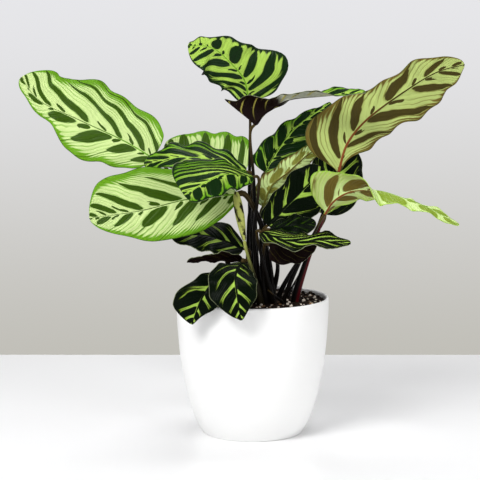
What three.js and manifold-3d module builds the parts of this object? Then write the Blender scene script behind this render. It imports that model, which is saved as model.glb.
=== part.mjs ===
// A calathea (peacock plant) in a plain white pot, in millimetres, +Z up.
// The origin is the middle of the pot's underside, which is where the pot rests.
// Every leaf is a blade on its own stalk. The stalks stand in plain holes in the soil.
import * as THREE from 'three';
import { mergeVertices } from 'three/addons/utils/BufferGeometryUtils.js';
import Module from 'manifold-3d';

const wasm = await Module();
wasm.setup();

// Driving dimensions: the pot
const potHeight = 130;
const rimRadius = 72.5;
const baseRadius = 46.5;
const potWall = 2.8;
const potFloor = 4.5;
const baseRounding = 1.6;
const potSides = 44;
const potSteps = 11;

// Driving dimensions: the soil and its holes
const soilLevel = 126.5;
const soilRelief = 1.1;
const soilCrown = 1;
const soilSides = 36;
const soilRings = 8;
const soilSeed = 11;
const holeDepth = 11;
const holeSides = 8;
const seatGap = 0.3;
const facetGap = 0.15;

// Driving dimensions: the leaves
const bladeThickness = 0.8;
const ribDepth = 0.9;
const ribTaper = 0.7;
const neckHalfWidth = 1.1;
const tipHalfWidth = 0.5;
const scallop = 0.6;
const edgeShift = 2;
const endCalm = 0.6;

// Driving dimensions: the stalks and sheaths
const stalkRadius = { foot: 2.7, top: 1.25 };
const stoutStalkRadius = { foot: 2.7, top: 2.4 };
const redStalkRadius = { foot: 3.9, top: 1.9 };
const sheathRadius = { foot: 3.2, top: 0.5 };
const stalkTaper = 1.5;
const stalkEnd = 6;
const footRise = 3;

// How finely the curved pieces are cut into faces
const bladeColumns = [0, 0.1, 0.55, 1];
const stationPitch = 8;
const leastStations = 8;
const stalkSides = 6;
const stalkPitch = 15;
const leastSteps = 5;

const colours = {
  pot: 0xf2f2f0, soil: 0x2a1d16, bright: 0xa9c95c, dark: 0x2f5426,
  pale: 0xb9b878, purple: 0x3b2426, stalk: 0x4a3428, redStalk: 0x4d1c1c, spear: 0xb7b86a,
};

// The leaves. midrib holds points from the blade's base to its tip. left and right, seen from the top
// side with the tip up, are the widths from the midrib to the edge at 11 places from base to tip, which
// stand closer together towards both ends. faces says where the top side looks, and fold how far both
// halves are lifted out of the flat (degrees), from base to tip. arch bends the edges back. ruffle is the
// height of the edge waves, and waves their number on each edge. foot is the stalk's place in the soil,
// and via holds points that the stalk passes through. A stalk without its own radius is a plain one.
const leaves = [
  {
    name: 'leaf_a', colour: 'bright', foot: [-11, -3], via: [[-58, 18, 224]],
    midrib: [[-95, 20, 260], [-122, 32, 275], [-169, 44, 296], [-208, 50, 315], [-224, 52, 336]],
    left: [10, 19, 24, 28, 32, 33, 20, 12, 8, 7, 4],
    right: [20, 28, 33, 35, 37, 42, 38, 30, 32, 28, 14],
    faces: [[0.1, -1, 0.3]], fold: [8], arch: 10, ruffle: 2.5, waves: 5,
  },
  {
    name: 'leaf_b', colour: 'bright', foot: [11, -17], via: [[13, -16, 172], [7, -20, 203]],
    midrib: [[-15, -24, 230], [-60, -30, 226], [-104, -38, 216], [-150, -46, 210]],
    left: [8, 15, 24, 30, 31, 33, 28, 22, 17, 11, 5],
    right: [4, 10, 16, 23, 30, 35, 38, 37, 34, 28, 14],
    faces: [[0, -1, 0.1]], fold: [4], arch: 8, ruffle: 2, waves: 3,
    radius: stoutStalkRadius,
  },
  {
    name: 'leaf_c', colour: 'bright', foot: [-4, 11], via: [],
    midrib: [[-7, 36, 246], [-41, 60, 255], [-86, 82, 270]],
    left: [8, 15, 20, 24, 25, 25, 24, 21, 18, 13, 7],
    right: [17, 25, 30, 31, 31, 28, 25, 20, 15, 9, 4],
    faces: [[0, -1, 0.3]], fold: [5], arch: 10, ruffle: 2.2, waves: 4,
  },
  {
    name: 'leaf_d1', colour: 'dark', foot: [4, -17], via: [[3, -22, 165], [1, -25, 190]],
    midrib: [[0, -32, 247], [-27, -56, 251], [-43, -68, 245], [-62, -73, 234]],
    left: [3, 7, 10, 13, 15, 16, 16, 15, 13, 10, 6],
    right: [4, 9, 15, 21, 26, 30, 34, 36, 36, 32, 22],
    faces: [[0, -1, 0.8], [0, -1, 0.8], [0, -1, 0.5]], fold: [-12], arch: 8, ruffle: 2, waves: 3,
  },
  {
    name: 'leaf_d2', colour: 'dark', foot: [-4, -3], via: [[-4, -2, 200]],
    midrib: [[-6, 2, 249], [-31, -3, 259], [-68, -6, 263], [-102, -6, 256]],
    left: [3, 7, 10, 12, 14, 15, 14, 13, 11, 7, 4],
    right: [5, 10, 14, 18, 21, 22, 21, 19, 16, 11, 6],
    faces: [[0, -0.6, 0.9]], fold: [5], arch: 10, ruffle: 2.4, waves: 4,
  },
  {
    name: 'leaf_e', colour: 'dark', foot: [1, 6], via: [[-3, 8, 220]],
    midrib: [[-4, 6, 315], [-8, 4, 335], [-19, 0, 349], [-38, -8, 365], [-60, -14, 367]],
    left: [7, 12, 18, 22, 23, 24, 26, 25, 23, 17, 9],
    right: [17, 26, 32, 44, 27, 23, 17, 10, 9, 4, 3],
    faces: [[0, -1, 0.2]], fold: [6], arch: 10, ruffle: 2.6, waves: 4,
  },
  {
    name: 'leaf_f', colour: 'purple', foot: [4, -10], via: [[1, -9, 240]],
    midrib: [[2, -8, 294], [10, -10, 304], [21, -15, 312], [34, -22, 318], [67, -36, 322], [102, -46, 325]],
    left: [1, 1, 3, 4, 8, 10, 9, 9, 8, 6, 3],
    right: [35, 27, 24, 9, 7, 9, 9, 9, 9, 7, 4],
    faces: [[-0.2, 1, 0.1], [0, 0.4, 1], [0, 0.2, 1], [0, -0.35, 1], [0, -0.45, 1]],
    fold: [8, 15, 30, 20, 15], arch: 0, ruffle: 2, waves: 3,
  },
  {
    name: 'leaf_g', colour: 'pale', foot: [40, -12], via: [],
    midrib: [[80, -14, 250], [88, -8, 275], [104, 0, 295], [141, 14, 322], [176, 26, 342], [202, 30, 349]],
    left: [1, 4, 14, 21, 22, 24, 29, 27, 21, 16, 5],
    right: [6, 28, 39, 35, 26, 19, 18, 19, 14, 9, 5],
    faces: [[0, 1, 0], [0, 1, 0], [0, 1, 0.2]], fold: [6], arch: 10, ruffle: 2.5, waves: 5,
    radius: redStalkRadius, stalkColour: 'redStalk',
  },
  {
    name: 'leaf_h', colour: 'pale', foot: [29, -22], via: [],
    midrib: [
      [66, -45, 214], [73, -52, 226], [88, -60, 236], [112, -68, 238], [132, -76, 233], [158, -84, 223],
      [183, -90, 209],
    ],
    left: [1, 5, 9, 12, 11, 9, 6, 5, 5, 4, 2],
    right: [1, 14, 31, 21, 19, 15, 9, 7, 6, 5, 3],
    faces: [[-0.2, 1, 0.2], [-0.1, 1, 0.4], [0, 0.15, 1], [0, -0.5, 1], [0, -0.4, 1]],
    fold: [8, 8, 8, -8, -45, -30, -10, -4, 0], arch: 5, ruffle: 2.2, waves: 5,
  },
  {
    name: 'leaf_j', colour: 'dark', foot: [18, 11], via: [],
    midrib: [[12, 28, 246], [23, 42, 264], [42, 58, 287], [77, 76, 311]],
    left: [10, 17, 17, 15, 13, 10, 8, 5, 3, 1.5, 0.5],
    right: [9, 17, 24, 28, 31, 31, 30, 27, 22, 16, 9],
    faces: [[0, -1, 0.2]], fold: [8], arch: 10, ruffle: 2.2, waves: 4,
  },
  {
    name: 'leaf_k', colour: 'pale', foot: [11, 2], via: [],
    midrib: [[10, 1, 216], [18, -2, 236], [34, -1, 249], [52, 3, 265], [64, 5, 272]],
    left: [4, 7, 9, 10, 10, 10, 10, 9, 7, 5, 3],
    right: [7, 11, 12, 11, 11, 11, 10, 9, 7, 5, 3],
    faces: [[0, 1, 0.1]], fold: [5], arch: 10, ruffle: 2, waves: 3,
  },
  {
    name: 'leaf_l', colour: 'dark', foot: [18, -17], via: [[16, -20, 165]],
    midrib: [[14, -24, 201], [29, -26, 217], [46, -26, 234], [66, -20, 253]],
    left: [8, 12, 14, 15, 16, 17, 18, 17, 15, 11, 6],
    right: [8, 14, 19, 22, 24, 24, 23, 20, 17, 12, 7],
    faces: [[0, -1, 0.1]], fold: [8], arch: 10, ruffle: 2, waves: 3,
  },
  {
    name: 'leaf_m', colour: 'dark', foot: [25, 4], via: [],
    midrib: [[70, 22, 206], [76, 32, 228], [84, 42, 252], [91, 50, 271]],
    left: [9, 15, 20, 23, 25, 25, 24, 22, 19, 14, 8],
    right: [9, 16, 21, 24, 26, 26, 25, 23, 19, 14, 8],
    faces: [[0, -1, 0.2]], fold: [6], arch: 10, ruffle: 2, waves: 3,
  },
  {
    name: 'leaf_n', colour: 'dark', foot: [18, -25], via: [],
    midrib: [[8, -54, 198], [33, -80, 193], [60, -90, 195], [86, -96, 193]],
    left: [4, 11, 17, 21, 22, 22, 21, 19, 15, 11, 6],
    right: [4, 8, 10, 12, 13, 13, 12, 12, 11, 8, 4],
    faces: [[0, -0.3, 1]], fold: [4], arch: 14, ruffle: 2.4, waves: 3,
  },
  {
    name: 'leaf_o', colour: 'dark', foot: [18, -10], via: [[23, -24, 165]],
    midrib: [[16, -32, 198], [39, -42, 203], [58, -40, 205]],
    left: [3, 6, 9, 11, 12, 12, 11, 10, 8, 6, 3],
    right: [3, 6, 9, 11, 12, 12, 11, 10, 8, 6, 3],
    faces: [[0, -0.8, 0.8]], fold: [4], arch: 10, ruffle: 1.6, waves: 2,
  },
  {
    name: 'leaf_p', colour: 'dark', foot: [-11, -10], via: [],
    midrib: [[-9, -10, 177], [-41, -12, 189], [-77, -16, 191]],
    left: [6, 11, 15, 19, 20, 20, 18, 16, 13, 9, 5],
    right: [6, 12, 17, 20, 22, 22, 20, 18, 14, 10, 5],
    faces: [[0, -0.6, 0.8]], fold: [4], arch: 10, ruffle: 2, waves: 3,
  },
  {
    name: 'leaf_q', colour: 'purple', foot: [-11, -17], via: [],
    midrib: [[-10, -26, 168], [-35, -34, 170], [-61, -42, 169]],
    left: [3, 6, 9, 11, 12, 12, 10, 6, 7, 7, 4],
    right: [2, 4, 6, 7, 8, 8, 6, 4, 4, 4, 2],
    faces: [[0, 0.6, 1]], fold: [10], arch: 0, ruffle: 1.2, waves: 3,
  },
  {
    name: 'leaf_r', colour: 'dark', foot: [-11, -24], via: [],
    midrib: [[-17, -42, 165], [-31, -60, 158], [-45, -73, 143], [-56, -72, 116]],
    left: [5, 9, 13, 17, 20, 20, 17, 12, 7, 3, 1],
    right: [1, 2, 4, 7, 10, 14, 18, 23, 22, 14, 6],
    faces: [[0, -0.6, 0.8], [0, -1, 0.3], [0, -1, 0]], fold: [4], arch: 10, ruffle: 1.6, waves: 4,
  },
  {
    name: 'leaf_s', colour: 'dark', foot: [-3, -24], via: [],
    midrib: [[-10, -52, 170], [-16, -80, 162], [-14, -90, 142], [-11, -90, 123]],
    left: [2, 5, 9, 13, 16, 18, 18, 15, 10, 5, 2],
    right: [3, 7, 12, 17, 21, 24, 24, 20, 13, 7, 2],
    faces: [[0, -0.6, 1], [0, -1, 0.4], [0, -1, 0]], fold: [4], arch: 8, ruffle: 1.4, waves: 4,
  },
  {
    name: 'leaf_t', colour: 'purple', foot: [12, -25], via: [],
    midrib: [[16, -34, 184], [36, -52, 185], [58, -64, 189]],
    left: [8, 13, 15, 16, 16, 16, 15, 13, 10, 7, 3],
    right: [2, 4, 5, 6, 6, 6, 5, 5, 4, 3, 1],
    faces: [[0, 1, -0.3]], fold: [4], arch: 6, ruffle: 1.6, waves: 3,
  },
];

// The youngest leaf is still rolled up. roll gives its radius as left and right do a blade's width.
const youngLeaf = {
  foot: [7, -30], via: [], midrib: [[-8, -42, 189], [-12, -40, 212], [-16, -36, 234]],
  roll: [0.6, 1.2, 1.8, 2.5, 3.1, 3.5, 3.6, 3.5, 3, 2.2, 1.2],
};

// Old leaf bases that stand round the clump, each from its foot to its point.
const sheaths = [
  { name: 'sheath_1', foot: [27, -32], mid: [23, -36, 134], point: [14, -38, 142] },
  { name: 'sheath_2', foot: [-18, -14], mid: [-21, -16, 136], point: [-29, -20, 147] },
  { name: 'sheath_3', foot: [34, 3], mid: [37, 5, 136], point: [44, 9, 149] },
];

const vec = (p) => new THREE.Vector3(...p);
const radians = THREE.MathUtils.degToRad;

// A small seeded random number generator, for values from 0 to 1.
function seededRandom(seed) {
  let state = seed;
  return () => {
    state = (state * 1664525 + 1013904223) % 4294967296;
    return state / 4294967296;
  };
}

function meshFrom(points, triangles) {
  const geometry = new THREE.BufferGeometry();
  const values = points.flatMap((p) => [p.x, p.y, p.z]);
  geometry.setAttribute('position', new THREE.Float32BufferAttribute(values, 3));
  geometry.setIndex(triangles);
  return geometry;
}

function toSolid(geometry) {
  const bare = geometry.clone();
  bare.deleteAttribute('normal');
  bare.deleteAttribute('uv');
  const merged = mergeVertices(bare, 1e-4);
  const vertProperties = new Float32Array(merged.attributes.position.array);
  const triVerts = new Uint32Array(merged.index.array);
  return new wasm.Manifold(new wasm.Mesh({ numProp: 3, vertProperties, triVerts }));
}

function fromSolid(solid) {
  const mesh = solid.getMesh();
  const geometry = new THREE.BufferGeometry();
  geometry.setAttribute('position', new THREE.BufferAttribute(mesh.vertProperties, 3));
  geometry.setIndex(new THREE.BufferAttribute(mesh.triVerts, 1));
  return geometry;
}

// ---- Pot ----

// The outside of the pot swells quickly above the base and is nearly upright at the rim.
function potRadius(z) {
  const rise = 1 - (1 - z / potHeight) ** 2;
  return baseRadius + (rimRadius - baseRadius) * rise ** (2 / 3);
}

// The heights of the pot's rings, closest together where it curves most.
const potLevels = Array.from({ length: potSteps + 1 }, (_, i) => (
  baseRounding + (potHeight - 2 * baseRounding) * (1 - Math.cos((Math.PI / 2) * (i / potSteps)))
));
const fillLevels = potLevels.filter((z) => z > potFloor + baseRounding);

function potGeometry() {
  const outside = [[0, 0], [baseRadius - baseRounding, 0], ...potLevels.map((z) => [potRadius(z), z])];
  const inside = fillLevels.map((z) => [potRadius(z) - potWall, z]).reverse();
  const lip = [[rimRadius - potWall * 0.25, potHeight], [rimRadius - potWall * 0.75, potHeight]];
  const floorRing = [[potRadius(potFloor) - potWall - baseRounding, potFloor], [0, potFloor]];
  const profile = [...outside, ...lip, ...inside, ...floorRing].map(([x, y]) => new THREE.Vector2(x, y));
  return new THREE.LatheGeometry(profile, potSides).rotateX(Math.PI / 2);
}

// ---- Soil ----

// The soil fills the pot. Its top is lumpy and slightly crowned.
function soilGeometry(stalkFeet) {
  const random = seededRandom(soilSeed);
  const points = [];
  const triangles = [];
  const soilRadius = (z) => potRadius(z) - potWall - seatGap - facetGap;
  const levels = [...fillLevels.filter((z) => z < soilLevel - footRise), soilLevel];
  levels.forEach((z) => {
    for (let k = 0; k < soilSides; k += 1) {
      const angle = (2 * Math.PI * k) / soilSides;
      points.push(new THREE.Vector3(soilRadius(z) * Math.cos(angle), soilRadius(z) * Math.sin(angle), z));
    }
  });
  for (let ring = 1; ring < soilRings; ring += 1) {
    const radius = soilRadius(soilLevel) * (1 - ring / soilRings);
    for (let k = 0; k < soilSides; k += 1) {
      const angle = (2 * Math.PI * k) / soilSides;
      const z = soilLevel + soilRelief * (2 * random() - 1) + soilCrown * (1 - radius / rimRadius);
      points.push(new THREE.Vector3(radius * Math.cos(angle), radius * Math.sin(angle), z));
    }
  }
  const rows = levels.length + soilRings - 1;
  for (let row = 0; row + 1 < rows; row += 1) {
    for (let k = 0; k < soilSides; k += 1) {
      const a = row * soilSides + k;
      const b = row * soilSides + ((k + 1) % soilSides);
      triangles.push(a, b, b + soilSides, a, b + soilSides, a + soilSides);
    }
  }
  const bottom = points.push(new THREE.Vector3(0, 0, levels[0])) - 1;
  const top = points.push(new THREE.Vector3(0, 0, soilLevel + soilCrown)) - 1;
  for (let k = 0; k < soilSides; k += 1) {
    const next = (k + 1) % soilSides;
    triangles.push(bottom, next, k);
    triangles.push(top, (rows - 1) * soilSides + k, (rows - 1) * soilSides + next);
  }
  let soil = toSolid(meshFrom(points, triangles));
  stalkFeet.forEach(([x, y, radius]) => {
    const holeRadius = (radius + seatGap) / Math.cos(Math.PI / holeSides);
    const hole = new THREE.CylinderGeometry(holeRadius, holeRadius, 2 * holeDepth, holeSides);
    hole.rotateX(Math.PI / 2).translate(x, y, soilLevel);
    soil = soil.subtract(toSolid(hole));
  });
  return fromSolid(soil);
}

// ---- Leaves ----

const across = new THREE.Vector3();

// Where the top side looks at s, from 0 at the base to 1 at the tip.
function facing(leaf, s) {
  const last = leaf.faces.length - 1;
  const step = Math.min(Math.floor(s * last), Math.max(last - 1, 0));
  const start = vec(leaf.faces[step]).normalize();
  return last === 0 ? start : start.lerp(vec(leaf.faces[step + 1]).normalize(), s * last - step);
}

// The number at s, in a list that runs from base to tip.
function between(values, s) {
  const last = values.length - 1;
  const step = Math.min(Math.floor(s * last), Math.max(last - 1, 0));
  return THREE.MathUtils.lerp(values[step], values[Math.min(step + 1, last)], s * last - step);
}

// The width from the midrib to the edge at s, smoothly between the places of the table.
function halfWidth(widths, s) {
  const last = widths.length + 1;
  const stations = [-widths[0], 0, ...widths, 0, -widths.at(-1)];
  const place = (Math.acos(1 - 2 * s) / Math.PI) * last;
  const i = Math.min(Math.floor(place), last - 1);
  const w = place - i;
  const [a, b, c, d] = stations.slice(i, i + 4);
  const bend = 2 * a - 5 * b + 4 * c - d + w * (3 * (b - c) + d - a);
  return Math.max(0, b + (w / 2) * (c - a + w * bend));
}

const midribCurve = (leaf) => new THREE.CatmullRomCurve3(leaf.midrib.map(vec), false, 'centripetal');

// A point of the blade's middle surface. side is -1 left or 1 right, t runs from 0 at the midrib
// to 1 at the edge.
function bladePoint(leaf, curve, s, side, t) {
  const tangent = curve.getTangentAt(s);
  const normal = facing(leaf, s);
  normal.addScaledVector(tangent, -normal.dot(tangent)).normalize();
  across.crossVectors(tangent, normal);
  const ends = neckHalfWidth * (1 - s) + tipHalfWidth * s;
  const width = ends + halfWidth(side < 0 ? leaf.left : leaf.right, s);
  const phase = 2 * Math.PI * leaf.waves * s + (side < 0 ? 0 : edgeShift);
  const calm = Math.sin(Math.PI * s) ** endCalm;
  const angle = radians(between(leaf.fold, s) - 0.5 * leaf.arch * t);
  const out = width * t * Math.cos(angle) + scallop * leaf.ruffle * Math.cos(phase) * calm * t;
  const up = width * t * Math.sin(angle) + leaf.ruffle * Math.sin(phase) * calm * t * t;
  return curve.getPointAt(s).addScaledVector(across, side * out).addScaledVector(normal, up);
}

// The blade: the same triangles above and below its middle surface, joined round the edge.
function bladeGeometry(leaf) {
  const curve = midribCurve(leaf);
  const stations = Math.max(leastStations, Math.round(curve.getLength() / stationPitch));
  const columns = [...bladeColumns.slice(1).reverse().map((t) => -t), ...bladeColumns];
  const middle = [];
  for (let i = 0; i <= stations; i += 1) {
    const s = 0.5 - 0.5 * Math.cos(Math.PI * (i / stations));
    middle.push(columns.map((c) => bladePoint(leaf, curve, s, Math.sign(c) || 1, Math.abs(c))));
  }
  const last = columns.length - 1;
  const at = (i, j) => middle[Math.min(Math.max(i, 0), stations)][Math.min(Math.max(j, 0), last)];
  const top = [];
  const under = [];
  for (let i = 0; i <= stations; i += 1) {
    for (let j = 0; j <= last; j += 1) {
      const along = at(i + 1, j).clone().sub(at(i - 1, j));
      const aside = at(i, j + 1).clone().sub(at(i, j - 1));
      const normal = aside.cross(along).normalize();
      const rib = columns[j] === 0 ? ribDepth * (1 - ribTaper * (i / stations)) : 0;
      top.push(at(i, j).clone().addScaledVector(normal, 0.5 * bladeThickness));
      under.push(at(i, j).clone().addScaledVector(normal, -0.5 * bladeThickness - rib));
    }
  }
  const row = last + 1;
  const size = top.length;
  const triangles = [];
  const quad = (a, b, c, d) => triangles.push(a, b, c, a, c, d);
  for (let i = 0; i < stations; i += 1) {
    for (let j = 0; j < last; j += 1) {
      const a = i * row + j;
      quad(a, a + 1, a + row + 1, a + row);
      triangles.push(size + a, size + a + row + 1, size + a + 1);
      triangles.push(size + a, size + a + row, size + a + row + 1);
    }
    const left = i * row;
    const right = left + last;
    quad(left + row, size + left + row, size + left, left);
    quad(right, size + right, size + right + row, right + row);
  }
  for (let j = 0; j < last; j += 1) {
    const tip = stations * row + j;
    quad(j, size + j, size + j + 1, j + 1);
    quad(tip + 1, size + tip + 1, size + tip, tip);
  }
  return meshFrom([...top, ...under], triangles);
}

// A round rod along a curve, closed at both ends. radiusAt gives its radius from u = 0 to u = 1.
function rodGeometry(curve, radiusAt) {
  const steps = Math.max(leastSteps, Math.round(curve.getLength() / stalkPitch));
  const frames = curve.computeFrenetFrames(steps, false);
  const points = [];
  const triangles = [];
  for (let i = 0; i <= steps; i += 1) {
    const u = i / steps;
    const r = radiusAt(u);
    for (let k = 0; k < stalkSides; k += 1) {
      const angle = (2 * Math.PI * k) / stalkSides;
      points.push(curve.getPointAt(u)
        .addScaledVector(frames.normals[i], r * Math.cos(angle))
        .addScaledVector(frames.binormals[i], r * Math.sin(angle)));
    }
  }
  for (let i = 0; i < steps; i += 1) {
    for (let k = 0; k < stalkSides; k += 1) {
      const a = i * stalkSides + k;
      const b = i * stalkSides + ((k + 1) % stalkSides);
      triangles.push(a, b, b + stalkSides, a, b + stalkSides, a + stalkSides);
    }
  }
  const end = steps * stalkSides;
  for (let k = 1; k + 1 < stalkSides; k += 1) {
    triangles.push(0, k + 1, k);
    triangles.push(end, end + k, end + k + 1);
  }
  return meshFrom(points, triangles);
}

const tapering = ({ foot, top }) => (u) => top + (foot - top) * (1 - u) ** stalkTaper;

// What grows from the soil starts in its hole and comes out of it upright.
const rootPoints = ([x, y]) => [
  new THREE.Vector3(x, y, soilLevel - holeDepth + 1),
  new THREE.Vector3(x, y, soilLevel + footRise),
];

// The stalk is thickest at the sheath near the soil, and meets the blade end on.
function stalkGeometry(leaf) {
  const start = midribCurve(leaf).getTangent(0);
  const end = vec(leaf.midrib[0]).addScaledVector(start, -seatGap);
  const bend = end.clone().addScaledVector(start, -stalkEnd);
  const path = [...rootPoints(leaf.foot), ...leaf.via.map(vec), bend, end];
  const curve = new THREE.CatmullRomCurve3(path, false, 'centripetal');
  return rodGeometry(curve, tapering(leaf.radius ?? stalkRadius));
}

function sheathGeometry({ foot, mid, point }) {
  const path = [...rootPoints(foot), vec(mid), vec(point)];
  return rodGeometry(new THREE.CatmullRomCurve3(path, false, 'centripetal'), tapering(sheathRadius));
}

function youngLeafGeometry() {
  const ends = (u) => neckHalfWidth * (1 - u) + tipHalfWidth * u;
  return rodGeometry(midribCurve(youngLeaf), (u) => ends(u) + halfWidth(youngLeaf.roll, u));
}

// ---- Assembly ----

const materials = {};
Object.entries(colours).forEach(([name, color]) => {
  const roughness = { pot: 0.25, soil: 0.95 }[name] ?? 0.45;
  materials[name] = new THREE.MeshStandardMaterial({ color, roughness, metalness: 0 });
});

const plant = new THREE.Group();

function addPiece(name, geometry, material) {
  const piece = new THREE.Mesh(geometry, materials[material]);
  piece.name = name;
  plant.add(piece);
}

addPiece('pot', potGeometry(), 'pot');
const feet = [
  ...[...leaves, youngLeaf].map((leaf) => [...leaf.foot, (leaf.radius ?? stalkRadius).foot]),
  ...sheaths.map((sheath) => [...sheath.foot, sheathRadius.foot]),
];
addPiece('soil', soilGeometry(feet), 'soil');
leaves.forEach((leaf) => {
  addPiece(leaf.name, bladeGeometry(leaf), leaf.colour);
  addPiece(leaf.name.replace('leaf', 'stalk'), stalkGeometry(leaf), leaf.stalkColour ?? 'stalk');
});
addPiece('young_leaf', youngLeafGeometry(), 'spear');
addPiece('young_stalk', stalkGeometry(youngLeaf), 'spear');
sheaths.forEach((sheath) => addPiece(sheath.name, sheathGeometry(sheath), 'stalk'));

export default plant;
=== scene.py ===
"""A calathea (peacock plant) in a plain white pot.

Each leaf is a thin waved blade with its midrib, painted on both sides with lens-shaped marks that
follow its veins. The leaves stand on slim stalks that rise from one clump in dark potting soil.
Every length in the tables is in millimetres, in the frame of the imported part: +Z up, the origin in
the middle of the pot's underside, +X to the right and +Y away from the front.
"""
import bisect
import functools
import math
import random

import bpy
from mathutils import Euler, Matrix, Vector, noise


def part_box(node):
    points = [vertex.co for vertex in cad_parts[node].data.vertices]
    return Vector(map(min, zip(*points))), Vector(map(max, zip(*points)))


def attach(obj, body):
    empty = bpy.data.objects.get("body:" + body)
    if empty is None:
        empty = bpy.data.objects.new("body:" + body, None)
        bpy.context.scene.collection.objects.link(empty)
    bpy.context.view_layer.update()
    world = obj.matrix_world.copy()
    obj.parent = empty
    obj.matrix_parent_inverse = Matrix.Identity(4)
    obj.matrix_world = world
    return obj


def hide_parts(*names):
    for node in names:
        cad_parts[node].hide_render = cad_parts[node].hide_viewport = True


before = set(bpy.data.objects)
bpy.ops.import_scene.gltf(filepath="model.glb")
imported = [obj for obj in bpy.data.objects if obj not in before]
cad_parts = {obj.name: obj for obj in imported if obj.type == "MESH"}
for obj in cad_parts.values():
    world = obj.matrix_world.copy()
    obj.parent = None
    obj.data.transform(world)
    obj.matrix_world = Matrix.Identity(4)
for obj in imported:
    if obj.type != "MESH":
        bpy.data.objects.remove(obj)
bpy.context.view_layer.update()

bl_info = {
    "name": "Potted calathea",
    "version": (1, 0, 0),
    "blender": (4, 5, 0),
    "location": "3D View > Sidebar > Calathea",
    "description": "Builds a potted calathea, piece by piece, round its packed solids",
    "category": "Object",
}

BODY = "root"
MM = 0.001

POT_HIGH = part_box("pot")[1]


# ---- The plant's shape, in millimetres ----

SOIL_LEVEL = 126.5
HOLE_DEPTH = 11
FOOT_RISE = 3
SEAT_GAP = 0.3
STALK_END = 6
STALK_TAPER = 1.5
NECK_HALF_WIDTH = 1.1
TIP_HALF_WIDTH = 0.5
SCALLOP = 0.6
EDGE_SHIFT = 2
END_CALM = 0.6
STALK_RADIUS = (2.7, 1.25)
STOUT_STALK_RADIUS = (2.7, 2.4)
RED_STALK_RADIUS = (3.9, 1.9)
SHEATH_RADIUS = (3.2, 0.5)

# What most leaves share: how far the veins run towards the tip for each step outwards, at the base and
# at the tip, the half width of the marks in shares of their spacing, and how far the marks are moved on,
# each for the left and the right half.
LEAN = ((0.9, 1.9), (0.9, 1.9))
BROAD = (0.3, 0.3)
SHIFT = (0, 0.45)

# Half width and reach of each mark of the two lowest leaves, from base to tip.
LOW_LEAF_MARKS = (
    (0.5, 1), (0.48, 1), (0.45, 0.97), (0.43, 0.95), (0.42, 0.92), (0.41, 0.9), (0.4, 0.85), (0.34, 0.8),
)

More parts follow.
